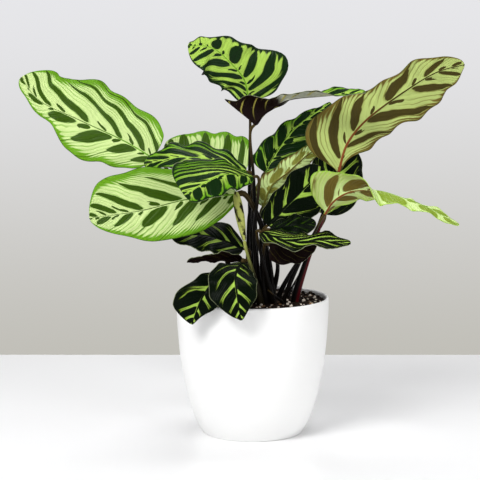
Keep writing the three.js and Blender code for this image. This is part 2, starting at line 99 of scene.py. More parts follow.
# The leaves. midrib runs from the blade's base to its tip. left and right, seen from the top side
# with the tip up, are the widths from the midrib to the edge at 11 places from base to tip, which
# stand closer together towards both ends. faces says where the top side looks and fold how far both
# halves are lifted, from base to tip. arch bends the edges back (degrees), ruffle is the height of the
# edge waves and waves their number. foot is the stalk's place in the soil, via what it passes, radius
# its radius at the foot and at the top, and swell the size of its sheath. top and under name the looks
# of the two sides, and slot a finish's name, which is passed on but not used. count is the number of
# marks. shift, broad and lean are as above, and reach is how far the marks run to the edge. Instead
# of broad and reach, marks gives the half width and the reach of each mark, from base to tip, for the
# left and the right half. fade is where the underside turns to a pale grey of painted sheen,
# which stands for light reflected off it, in shares of the blade's length.
LEAVES = {
    "leaf_a": dict(
        foot=(-11, -3), via=[(-58, 18, 224)],
        midrib=[(-95, 20, 260), (-122, 32, 275), (-169, 44, 296), (-208, 50, 315), (-224, 52, 336)],
        left=(10, 19, 24, 28, 32, 33, 20, 12, 8, 7, 4),
        right=(20, 28, 33, 35, 37, 42, 38, 30, 32, 28, 14),
        faces=[(0.1, -1, 0.3)], fold=[8], arch=10, ruffle=2.5, waves=5,
        top="bright", under="pale", slot="leaf_bright", count=5.2, reach=(0.64, 1.0),
        broad=(0.3, 0.2), lean=((1.0, 1.7), (1.1, 2.9)),
    ),
    "leaf_b": dict(
        foot=(11, -17), via=[(13, -16, 172), (7, -20, 203)],
        midrib=[(-15, -24, 230), (-60, -30, 226), (-104, -38, 216), (-150, -46, 210)],
        left=(8, 15, 24, 30, 31, 33, 28, 22, 17, 11, 5),
        right=(4, 10, 16, 23, 30, 35, 38, 37, 34, 28, 14),
        faces=[(0, -1, 0.1)], fold=[4], arch=8, ruffle=2, waves=3,
        top="bright", under="pale", slot="leaf_bright", count=6, reach=(0.62, 0.8),
        broad=(0.27, 0.24), lean=((0.9, 1.6), (1.5, 1.9)), radius=STOUT_STALK_RADIUS,
    ),
    "leaf_c": dict(
        foot=(-4, 11), via=[],
        midrib=[(-7, 36, 246), (-41, 60, 255), (-86, 82, 270)],
        left=(8, 15, 20, 24, 25, 25, 24, 21, 18, 13, 7),
        right=(17, 25, 30, 31, 31, 28, 25, 20, 15, 9, 4),
        faces=[(0, -1, 0.3)], fold=[5], arch=10, ruffle=2.2, waves=4,
        top="bright", under="pale", slot="leaf_bright", count=5, reach=(0.95, 0.95),
        broad=(0.3, 0.3), lean=((0.3, 0.6), (0.3, 0.6)),
    ),
    "leaf_d1": dict(
        foot=(4, -17), via=[(3, -22, 165), (1, -25, 190)],
        midrib=[(0, -32, 247), (-27, -56, 251), (-43, -68, 245), (-62, -73, 234)],
        left=(3, 7, 10, 13, 15, 16, 16, 15, 13, 10, 6),
        right=(4, 9, 15, 21, 26, 30, 34, 36, 36, 32, 22),
        faces=[(0, -1, 0.8), (0, -1, 0.8), (0, -1, 0.5)], fold=[-12], arch=8, ruffle=2, waves=3,
        top="blunt", under="purple", count=5, reach=(0.82, 0.98), broad=(0.38, 0.34),
        lean=((0.1, 0.3), (2.0, 2.6)),
    ),
    "leaf_d2": dict(
        foot=(-4, -3), via=[(-4, -2, 200)],
        midrib=[(-6, 2, 249), (-31, -3, 259), (-68, -6, 263), (-102, -6, 256)],
        left=(3, 7, 10, 12, 14, 15, 14, 13, 11, 7, 4),
        right=(5, 10, 14, 18, 21, 22, 21, 19, 16, 11, 6),
        faces=[(0, -0.6, 0.9)], fold=[5], arch=10, ruffle=2.4, waves=4,
        top="dark", under="purple", count=5, reach=(0.9, 0.95), broad=(0.38, 0.38),
        lean=((1.2, 2.0), (1.6, 2.4)),
    ),
    "leaf_e": dict(
        foot=(1, 6), via=[(-3, 8, 220)],
        midrib=[(-4, 6, 315), (-8, 4, 335), (-19, 0, 349), (-38, -8, 365), (-60, -14, 367)],
        left=(7, 12, 18, 22, 23, 24, 26, 25, 23, 17, 9),
        right=(17, 26, 32, 44, 27, 23, 17, 10, 9, 4, 3),
        faces=[(0, -1, 0.2)], fold=[6], arch=10, ruffle=2.6, waves=4,
        top="lime", under="purple", count=6.2, shift=(0, 0), lean=((1.1, 1.4), (0.5, 0)),
        marks=(
            (
                (0.36, 1), (0.3, 1), (0.3, 1), (0.29, 1), (0.27, 1), (0.26, 0.9), (0.22, 0.8),
                (0.2, 0.8),
            ),
            (
                (0.4, 1.05), (0.31, 1.02), (0.27, 0.97), (0.27, 0.88), (0.27, 0.8), (0.28, 0.75),
                (0.15, 0.35), (0.22, 0.5),
            ),
        ),
    ),
    "leaf_f": dict(
        foot=(4, -10), via=[(1, -9, 240)],
        midrib=[
            (2, -8, 294), (10, -10, 304), (21, -15, 312), (34, -22, 318), (67, -36, 322), (102, -46, 325),
        ],
        left=(1, 1, 3, 4, 8, 10, 9, 9, 8, 6, 3),
        right=(35, 27, 24, 9, 7, 9, 9, 9, 9, 7, 4),
        faces=[(-0.2, 1, 0.1), (0, 0.4, 1), (0, 0.2, 1), (0, -0.35, 1), (0, -0.45, 1)],
        fold=[8, 15, 30, 20, 15], arch=0, ruffle=2, waves=3,
        top="dark", under="striped", slot="leaf_purple_underside", reach=(0.85, 0.85),
        # Painted sheen: from here along the blade, the underside turns to a pale grey that stands for
        # reflected light.
        fade=(0.26, 0.36),
    ),
    "leaf_g": dict(
        foot=(40, -12), via=[],
        midrib=[
            (80, -14, 250), (88, -8, 275), (104, 0, 295), (141, 14, 322), (176, 26, 342), (202, 30, 349),
        ],
        left=(1, 4, 14, 21, 22, 24, 29, 27, 21, 16, 5),
        right=(6, 28, 39, 35, 26, 19, 18, 19, 14, 9, 5),
        faces=[(0, 1, 0), (0, 1, 0), (0, 1, 0.2)], fold=[6], arch=10, ruffle=2.5, waves=5,
        top="bright", under="pale", slot="leaf_pale_underside", count=5,
        lean=((1.5, 2.3), (0.8, 2.1)), radius=RED_STALK_RADIUS, swell=0.1,
        marks=(
            (
                (0.2, 1), (0.2, 1), (0.2, 1.02), (0.22, 1), (0.2, 0.98), (0.2, 0.9), (0.18, 0.8),
            ),
            (
                (0.36, 1.05), (0.26, 1.02), (0.24, 1), (0.23, 0.85), (0.21, 0.85), (0.2, 0.8),
                (0.18, 0.6),
            ),
        ),
    ),
    "leaf_h": dict(
        foot=(29, -22), via=[],
        midrib=[
            (66, -45, 214), (73, -52, 226), (88, -60, 236), (112, -68, 238), (132, -76, 233),
            (158, -84, 223), (183, -90, 209),
        ],
        left=(1, 5, 9, 12, 11, 9, 6, 5, 5, 4, 2),
        right=(1, 14, 31, 21, 19, 15, 9, 7, 6, 5, 3),
        faces=[(-0.2, 1, 0.2), (-0.1, 1, 0.4), (0, 0.15, 1), (0, -0.5, 1), (0, -0.4, 1)],
        fold=[8, 8, 8, -8, -45, -30, -10, -4, 0], arch=5, ruffle=2.2, waves=5,
        top="tender", under="ripe", slot="leaf_pale_underside", count=5, reach=(0.9, 0.98),
        broad=(0.28, 0.31), lean=((1.2, 1.8), (0.9, 1.2)), swell=0.02,
    ),
    "leaf_j": dict(
        foot=(18, 11), via=[],
        midrib=[(12, 28, 246), (23, 42, 264), (42, 58, 287), (77, 76, 311)],
        left=(10, 17, 17, 15, 13, 10, 8, 5, 3, 1.5, 0.5),
        right=(9, 17, 24, 28, 31, 31, 30, 27, 22, 16, 9),
        faces=[(0, -1, 0.2)], fold=[8], arch=10, ruffle=2.2, waves=4,
        top="blunt", under="purple", count=5, reach=(0.9, 0.85), broad=(0.4, 0.38),
        lean=((0.9, 1.5), (0.9, 1.6)),
    ),
    "leaf_k": dict(
        foot=(11, 2), via=[],
        midrib=[(10, 1, 216), (18, -2, 236), (34, -1, 249), (52, 3, 265), (64, 5, 272)],
        left=(4, 7, 9, 10, 10, 10, 10, 9, 7, 5, 3),
        right=(7, 11, 12, 11, 11, 11, 10, 9, 7, 5, 3),
        faces=[(0, 1, 0.1)], fold=[5], arch=10, ruffle=2, waves=3,
        top="bright", under="soft", slot="leaf_pale_underside", count=4, reach=(0.8, 0.7),
        broad=(0.28, 0.28), lean=((0.6, 1.2), (0.6, 1.2)),
    ),
    "leaf_l": dict(
        foot=(18, -17), via=[(16, -20, 165)],
        midrib=[(14, -24, 201), (29, -26, 217), (46, -26, 234), (66, -20, 253)],
        left=(8, 12, 14, 15, 16, 17, 18, 17, 15, 11, 6),
        right=(8, 14, 19, 22, 24, 24, 23, 20, 17, 12, 7),
        faces=[(0, -1, 0.1)], fold=[8], arch=10, ruffle=2, waves=3,
        top="glossy", under="purple", count=4, reach=(0.9, 0.9), broad=(0.42, 0.42),
        lean=((0.9, 1.2), (0.9, 1.4)),
    ),
    "leaf_m": dict(
        foot=(25, 4), via=[],
        midrib=[(70, 22, 206), (76, 32, 228), (84, 42, 252), (91, 50, 271)],
        left=(9, 15, 20, 23, 25, 25, 24, 22, 19, 14, 8),
        right=(9, 16, 21, 24, 26, 26, 25, 23, 19, 14, 8),
        faces=[(0, -1, 0.2)], fold=[6], arch=10, ruffle=2, waves=3,
        top="glossy", under="purple", count=6, reach=(0.85, 0.85), broad=(0.4, 0.4), swell=0.02,
    ),
    "leaf_n": dict(
        foot=(18, -25), via=[],
        midrib=[(8, -54, 198), (33, -80, 193), (60, -90, 195), (86, -96, 193)],
        left=(4, 11, 17, 21, 22, 22, 21, 19, 15, 11, 6),
        right=(4, 8, 10, 12, 13, 13, 12, 12, 11, 8, 4),
        faces=[(0, -0.3, 1)], fold=[4], arch=14, ruffle=2.4, waves=3,
        top="glossy", under="purple", count=5, reach=(0.85, 0.85), broad=(0.38, 0.38),
        lean=((2.4, 3), (2.4, 3)), swell=0.2,
    ),
    "leaf_o": dict(
        foot=(18, -10), via=[(23, -24, 165)],
        midrib=[(16, -32, 198), (39, -42, 203), (58, -40, 205)],
        left=(3, 6, 9, 11, 12, 12, 11, 10, 8, 6, 3),
        right=(3, 6, 9, 11, 12, 12, 11, 10, 8, 6, 3),
        faces=[(0, -0.8, 0.8)], fold=[4], arch=10, ruffle=1.6, waves=2,
        top="shaded", under="purple", count=4, reach=(0.85, 0.85), broad=(0.46, 0.46),
        lean=((1.5, 2), (1.5, 2)),
    ),
    "leaf_p": dict(
        foot=(-11, -10), via=[],
        midrib=[(-9, -10, 177), (-41, -12, 189), (-77, -16, 191)],
        left=(6, 11, 15, 19, 20, 20, 18, 16, 13, 9, 5),
        right=(6, 12, 17, 20, 22, 22, 20, 18, 14, 10, 5),
        faces=[(0, -0.6, 0.8)], fold=[4], arch=10, ruffle=2, waves=3,
        top="glossy", under="purple", count=4, reach=(0.9, 0.9), broad=(0.41, 0.41),
        lean=((0.9, 1.4), (0.9, 1.4)),
    ),
    "leaf_q": dict(
        foot=(-11, -17), via=[],
        midrib=[(-10, -26, 168), (-35, -34, 170), (-61, -42, 169)],
        left=(3, 6, 9, 11, 12, 12, 10, 6, 7, 7, 4),
        right=(2, 4, 6, 7, 8, 8, 6, 4, 4, 4, 2),
        faces=[(0, 0.6, 1)], fold=[10], arch=0, ruffle=1.2, waves=3,
        top="deep", under="purple", slot="leaf_purple_underside", reach=(0.85, 0.85),
    ),
    "leaf_r": dict(
        foot=(-11, -24), via=[],
        midrib=[(-17, -42, 165), (-31, -60, 158), (-45, -73, 143), (-56, -72, 116)],
        left=(5, 9, 13, 17, 20, 20, 17, 12, 7, 3, 1),
        right=(1, 2, 4, 7, 10, 14, 18, 23, 22, 14, 6),
        faces=[(0, -0.6, 0.8), (0, -1, 0.3), (0, -1, 0)], fold=[4], arch=10, ruffle=1.6, waves=4,
        top="glossy", under="purple", count=6, lean=((0.6, 0.9), (0.6, 0.9)),
        marks=(LOW_LEAF_MARKS, LOW_LEAF_MARKS),
    ),
    "leaf_s": dict(
        foot=(-3, -24), via=[],
        midrib=[(-10, -52, 170), (-16, -80, 162), (-14, -90, 142), (-11, -90, 123)],
        left=(2, 5, 9, 13, 16, 18, 18, 15, 10, 5, 2),
        right=(3, 7, 12, 17, 21, 24, 24, 20, 13, 7, 2),
        faces=[(0, -0.6, 1), (0, -1, 0.4), (0, -1, 0)], fold=[4], arch=8, ruffle=1.4, waves=4,
        top="glossy", under="purple", count=6, lean=((0.9, 1.2), (0.9, 1.2)),
        marks=(LOW_LEAF_MARKS, LOW_LEAF_MARKS),
    ),
    "leaf_t": dict(
        foot=(12, -25), via=[],
        midrib=[(16, -34, 184), (36, -52, 185), (58, -64, 189)],
        left=(8, 13, 15, 16, 16, 16, 15, 13, 10, 7, 3),
        right=(2, 4, 5, 6, 6, 6, 5, 5, 4, 3, 1),
        faces=[(0, 1, -0.3)], fold=[4], arch=6, ruffle=1.6, waves=3,
        top="deep", under="purple", slot="leaf_purple_underside", reach=(0.85, 0.85),
    ),
}

# The youngest leaf is still rolled up. roll is its radius, given as a blade's width is.
YOUNG_LEAF = dict(
    foot=(7, -30), via=[], midrib=[(-8, -42, 189), (-12, -40, 212), (-16, -36, 234)],
    roll=(0.6, 1.2, 1.8, 2.5, 3.1, 3.5, 3.6, 3.5, 3, 2.2, 1.2),
)

# Old leaf bases round the clump: foot, middle and point of each.
SHEATHS = {
    "sheath_1": ((27, -32), (23, -36, 134), (14, -38, 142)),
    "sheath_2": ((-18, -14), (-21, -16, 136), (-29, -20, 147)),
    "sheath_3": ((34, 3), (37, 5, 136), (44, 9, 149)),
}


def from_screen(red, green, blue):
    """A colour given as on a screen, 0 to 255, as the linear colour that shaders use."""
    shares = [value / 255 for value in (red, green, blue)]
    return tuple(v / 12.92 if v <= 0.04045 else ((v + 0.055) / 1.055) ** 2.4 for v in shares)


def colour_of(name, red, green, blue, description):
    """A colour that can be changed in the panel."""
    return bpy.props.FloatVectorProperty(
        name=name, description=description, default=from_screen(red, green, blue),
        subtype="COLOR", size=3, min=0, max=1,
    )


def length_of(name, default, description, least=0.1 * MM):
    """A length that can be changed in the panel."""
    return bpy.props.FloatProperty(
        name=name, description=description, default=default, unit="LENGTH", min=least,
    )


def count_of(name, default, description):
    """A number of pieces that can be changed in the panel."""
    return bpy.props.IntProperty(name=name, description=description, default=default, min=0)


def power_of(name, default, description):
    """A light's power that can be changed in the panel."""
    return bpy.props.FloatProperty(
        name=name, description=description, default=default, unit="POWER", min=0,
    )


# ---- What a user can change ----


class CalatheaPot(bpy.types.PropertyGroup):
    """The pot's sizes and finish."""

    height: length_of("Height", POT_HIGH.z, "From the table to the rim", 20 * MM)
    rim_radius: length_of("Rim radius", POT_HIGH.x, "Outer radius at the rim", 10 * MM)
    base_radius: length_of("Base radius", 46.5 * MM, "Outer radius just above the table", 10 * MM)
    wall: length_of("Wall", 2.8 * MM, "Thickness of the wall", 0.5 * MM)
    floor: length_of("Floor", 4.5 * MM, "Thickness of the floor", 0.5 * MM)
    rounding: length_of("Rounding", 1.6 * MM, "Rounding at the foot")
    glaze: colour_of("Glaze", 245, 245, 244, "Colour of the pot")


class CalatheaSoil(bpy.types.PropertyGroup):
    """The potting soil and what lies in it."""

    peat: colour_of("Peat", 22, 14, 9, "Colour of the damp soil")
    dry: colour_of("Dry crumbs", 56, 39, 25, "Colour of the dry crumbs on top")
    grain: colour_of("Grains", 228, 216, 200, "Colour of the pale grains")
    bark: colour_of("Bark", 140, 104, 68, "Colour of the bits of bark")
    grains: count_of("Pale grains", 150, "Number of pale grains")
    chips: count_of("Bark bits", 130, "Number of bits of bark")
    crumbs: count_of("Crumbs", 420, "Number of dark crumbs")


class CalatheaLeaves(bpy.types.PropertyGroup):
    """The blades' thickness, the colours of their pattern and the grey of painted sheen."""

    thickness: length_of("Thickness", 0.5 * MM, "Thickness of a blade")
    rib: length_of("Midrib", 0.9 * MM, "How far the midrib stands out below", 0)
    cream: colour_of("Cream", 192, 214, 140, "Ground of a leaf in full light")
    lime: colour_of("Lime", 158, 192, 78, "Ground of a young leaf")
    grass: colour_of("Grass", 98, 150, 26, "Edge band of a leaf in full light")
    moss: colour_of("Moss", 51, 79, 8, "Marks on a leaf in full light")
    forest: colour_of("Forest", 15, 38, 11, "Marks on a dark leaf")
    night: colour_of("Night", 6, 14, 5, "Marks on the deepest leaves")
    straw: colour_of("Straw", 168, 184, 106, "Ground of a pale underside")
    maroon: colour_of("Maroon", 60, 52, 12, "Marks on a pale underside")
    khaki: colour_of("Khaki", 126, 128, 52, "Edge of a pale underside, marks of a shaded one")
    plum: colour_of("Plum", 20, 9, 8, "Ground of a dark underside")
    olive: colour_of("Olive", 150, 142, 66, "Thin lines on a dark underside")
    fern: colour_of("Fern", 124, 148, 46, "Stripes of the deepest leaves")
    rust: colour_of("Rust", 128, 66, 30, "Midrib on an underside")
    umber: colour_of("Umber", 98, 84, 32, "Marks on a young underside")
    ash: colour_of("Ash", 142, 150, 112, "Thin margin of a dark leaf")
    # The next colour is painted sheen: a pale grey that stands for light reflected off the end of a dark
    # underside.
    sheen_grey: colour_of("Painted sheen", 156, 158, 142, "Faded end of a dark underside")


class CalatheaStalks(bpy.types.PropertyGroup):
    """The colours of the stalks."""

    bark: colour_of("Foot", 10, 7, 5, "Colour near the soil")
    bronze: colour_of("Top", 70, 57, 28, "Colour just below the blade")
    wine: colour_of("Wine", 84, 12, 20, "Colour of the thickest stalk on its right")
    husk: colour_of("Young foot", 30, 26, 12, "Foot of the rolled young leaf")
    spear: colour_of("Spear", 170, 176, 92, "Colour of the rolled young leaf")


class CalatheaStage(bpy.types.PropertyGroup):
    """Floor, light and camera."""

    floor: colour_of("Floor", 246, 246, 246, "Colour of the floor")
    wall: colour_of("Background", 231, 231, 234, "Colour of the background at eye level")
    low_wall: colour_of("Low background", 190, 188, 180, "Colour of the background low down")
    key: power_of("Key light", 25, "Power of the key light")
    fill: power_of("Fill light", 11, "Power of the fill light and of the light behind")
    overhead: bpy.props.FloatProperty(
        name="Light from above", description="Strength of the light from above, as a share",
        default=0.3, min=0, max=1,
    )


# ---- Materials ----


class Tone:
    """A number that changes over a surface. Sums and products of tones add their own nodes."""

    def __init__(self, paint, socket):
        self.paint = paint
        self.socket = socket

    def __add__(self, other):
        return self.paint.math("ADD", self, other)

    def __radd__(self, other):
        return self.paint.math("ADD", other, self)

    def __sub__(self, other):
        return self.paint.math("SUBTRACT", self, other)

    def __rsub__(self, other):
        return self.paint.math("SUBTRACT", other, self)

    def __mul__(self, other):
        return self.paint.math("MULTIPLY", self, other)

    def __rmul__(self, other):
        return self.paint.math("MULTIPLY", other, self)

    def __truediv__(self, other):
        return self.paint.math("DIVIDE", self, other)

    def __rtruediv__(self, other):
        return self.paint.math("DIVIDE", other, self)

    def __pow__(self, other):
        return self.paint.math("POWER", self, other)

    def __abs__(self):
        return self.paint.math("ABSOLUTE", self)


class Nodes:
    """The nodes of one material or of the light all round."""

    def __init__(self, tree):
        self.tree = tree

    def node(self, kind, settings=None, sockets=None):
        """A node of this kind, with its settings and then the values or links of its sockets."""
        made = self.tree.nodes.new("ShaderNode" + kind)
        for name, value in (settings or {}).items():
            setattr(made, name, value)
        for name, value in (sockets or {}).items():
            socket = next(s for s in made.inputs if name in (s.identifier, s.name))
            self.feed(socket, value)
        return made

    def feed(self, socket, value):
        """Links a tone or a socket, or sets a plain value."""
        if isinstance(value, Tone):
            value = value.socket
        if isinstance(value, bpy.types.NodeSocket):
            self.tree.links.new(value, socket)
        elif hasattr(value, "__len__") and len(value) == 3 and socket.type == "RGBA":
            socket.default_value = (*value, 1)
        else:
            socket.default_value = value

    def math(self, operation, *values):
        names = ("Value", "Value_001", "Value_002")
        made = self.node("Math", {"operation": operation}, dict(zip(names, values)))
        return Tone(self, made.outputs[0])

    def step(self, tone, low, high):
        """0 where the tone is at low or below, 1 at high or above, and smooth between."""
        made = self.node(
            "MapRange", {"interpolation_type": "SMOOTHSTEP"},
            {"Value": tone, "From Min": low, "From Max": high},
        )
        return Tone(self, made.outputs[0])

    def mix(self, share, first, second):
        """The first colour where share is 0, and the second where it is 1."""
        made = self.node(
            "Mix", {"data_type": "RGBA"},
            {"Factor_Float": share, "A_Color": first, "B_Color": second},
        )
        return next(s for s in made.outputs if s.identifier == "Result_Color")

    def numbers(self, attribute):
        """The three numbers that the piece's mesh holds under this name."""
        made = self.node("Attribute", {"attribute_name": attribute})
        split = self.node("SeparateXYZ", None, {"Vector": made.outputs["Vector"]})
        return [Tone(self, socket) for socket in split.outputs]

    def noise(self, scale, detail=2, stretch=None):
        """Cloudy variation from 0 to 1, with this many patches to the metre."""
        place = self.node("TexCoord").outputs["Object"]
        if stretch:
            place = self.node("Mapping", None, {"Vector": place, "Scale": stretch}).outputs[0]
        made = self.node("TexNoise", None, {"Vector": place, "Scale": scale, "Detail": detail})
        return Tone(self, made.outputs[0])

    def streaks(self, across, outwards, seed, detail=3):
        """Long thin variation from 0 to 1: many changes across the veins and few along them."""
        place = self.node("CombineXYZ", None, {"X": across, "Y": outwards, "Z": seed}).outputs[0]
        made = self.node("TexNoise", None, {"Vector": place, "Scale": 1, "Detail": detail})
        return Tone(self, made.outputs[0])

    def chance(self, tone):
        """A random number from 0 to 1 for each whole number of the tone."""
        made = self.node("TexWhiteNoise", {"noise_dimensions": "1D"}, {"W": tone})
        return Tone(self, made.outputs["Value"])

    def row(self, tone, rows):
        """The two numbers of the row that the tone, a whole number from 0 up, points at."""
        made = self.node("ValToRGB", None, {"Fac": (tone + 0.5) / len(rows)})
        stops = made.color_ramp.elements
        made.color_ramp.interpolation = "CONSTANT"
        stops.remove(stops[1])
        for i, (first, second) in enumerate(rows):
            stop = stops[0] if i == 0 else stops.new(i / len(rows))
            stop.color = (first, second, 0, 1)
        split = self.node("SeparateColor", None, {"Color": made.outputs["Color"]})
        return [Tone(self, socket) for socket in split.outputs]


class Paint(Nodes):
    """One material."""

    def __init__(self, name):
        self.material = bpy.data.materials.new(name)
        self.material.use_nodes = True
        super().__init__(self.material.node_tree)
        self.shader = self.tree.nodes["Principled BSDF"]

    def bump(self, height, distance, strength=1):
        """Small relief, distance deep where the height is 1."""
        made = self.node("Bump", None, {"Height": height, "Distance": distance, "Strength": strength})
        self.feed(self.shader.inputs["Normal"], made.outputs[0])

    def shine(self, strength):
        """How strongly the surface reflects."""
        self.shader.inputs["Specular IOR Level"].default_value = strength

    def finish(self, **values):
        """Feeds the shader's sockets, whose names are given with _ for a space."""
        for name, value in values.items():
            self.feed(self.shader.inputs[name.replace("_", " ")], value)
        return self.material


WAX_SHINE = 0.08

# What most looks of a leaf side share. Across a blade, places are shares of its half width.
# count is the number of marks and vary how much their widths differ. A larger peak moves a mark's
# widest place outwards, round shapes its ends, from square at 0 to pointed at 1, tail is how wide its
# outer end stays, as a share of its width, and ragged how torn its outline is. small is the width of
# the ovals between the marks, in shares of their spacing. lines is the number of thin lines for each
# mark, line_low how thin and line_share how strong they are, and lines_from how far out they begin.
# The edge band begins at edge_from, base_band further in near the base, and runs in along the lines by
# feather. rib is half the painted midrib's width in millimetres, vein_lines the depth of the ridges
# along the veins, gloss the roughness and shine the strength of reflections.
USUAL_LOOK = dict(
    count=5, vary=0.36, peak=0.8, round=0.6, tail=0.1, ragged=0.1, small=0.14, lines=5, line_low=0.5,
    line_share=0.5, lines_from=0.1, edge_from=0.93, base_band=0, feather=0.2, rib=0.7, vein_lines=0.4,
    gloss=0.36, shine=0.1,
)


def leaf_looks(colours):
    """How each kind of leaf side is painted."""

    def look(ground, patch, line, rib_foot, rib_tip, **changes):
        """The usual look with these colours and changes."""
        paints = dict(
            ground=ground, outer=ground, patch=patch, rim=patch, border=patch, line=line, edge=line,
            rib_foot=rib_foot, rib_tip=rib_tip,
        )
        return {**USUAL_LOOK, **paints, **changes}

    c = colours
    bright = look(
        c.cream, c.moss, c.grass, c.grass, c.moss, rim=c.grass, line_share=0.7, edge_from=0.82,
        feather=0.13, vein_lines=0.55, peak=0.6, round=0.45, shine=0.08,
    )
    lime = look(
        c.lime, c.forest, c.forest, c.grass, c.grass, count=6, lines=3, line_share=0.9, lines_from=0.6,
        edge_from=0.87, feather=0.12, rib=0.75, gloss=0.3, vein_lines=0.3, tail=0.25, ragged=0.12,
        round=0.45, shine=0.08,
    )
    dark = look(
        c.lime, c.forest, c.forest, c.moss, c.grass, outer=c.grass, border=c.ash, count=6, small=0.16,
        lines=2, line_share=0.9, edge_from=0.86, feather=0.16, rib=0.5, gloss=0.3, vein_lines=0.3,
        ragged=0.3, round=0.5, line_low=0.6, shine=0.05,
    )
    deep = look(
        c.fern, c.night, c.night, c.night, c.night, outer=c.moss, border=c.ash, small=0.02, lines=2,
        line_share=0.95, lines_from=0, edge_from=0.76, rib=1.7, gloss=0.28, vein_lines=0.2, tail=0.5,
        ragged=0.2, round=0.1, line_low=0.86, vary=0.12, shine=0.03,
    )
    pale = look(
        c.straw, c.maroon, c.umber, c.rust, c.maroon, rim=c.khaki, count=5.5, line_share=0.6,
        lines_from=0.05, edge_from=0.88, rib=1, gloss=0.5, tail=0.2, base_band=0.12,
    )
    tender = look(
        c.cream, c.fern, c.lime, c.lime, c.grass, rim=c.lime, border=c.lime, lines_from=0.2,
        vein_lines=0.5, peak=0.7, tail=0.05, ragged=0.04, round=0.4,
    )
    ripe = look(
        c.cream, c.umber, c.lime, c.rust, c.umber, outer=c.straw, border=c.grass, small=0.1,
        lines_from=0.05, rib=0.75, gloss=0.45, peak=0.7, tail=0.05, ragged=0.15,
    )
    # A dark underside; towards its end it can turn to a pale grey of painted sheen, which stands for
    # reflected light.
    purple = look(
        c.plum, c.plum, c.olive, c.plum, c.plum, edge=c.plum, faded=c.sheen_grey, count=6, small=0, lines=2,
        line_share=0.12, lines_from=0, edge_from=0.92, feather=0.1, rib=0.6, gloss=0.42,
        vein_lines=0.2, tail=0.3, ragged=0.3, shine=0.05,
    )
    return {
        "bright": bright, "lime": lime, "dark": dark, "deep": deep, "pale": pale, "tender": tender,
        "ripe": ripe, "purple": purple,
        "blunt": {**dark, "round": 0.25, "tail": 0.3},
        "glossy": {**deep, "ground": c.lime, "outer": c.fern},
        "shaded": {**deep, "ground": c.moss},
        "soft": {
            **pale, "ground": c.cream, "outer": c.cream, "patch": c.khaki, "rib_foot": c.khaki,
            "rib_tip": c.umber,
        },
        "striped": {**purple, "line_share": 0.9},
    }


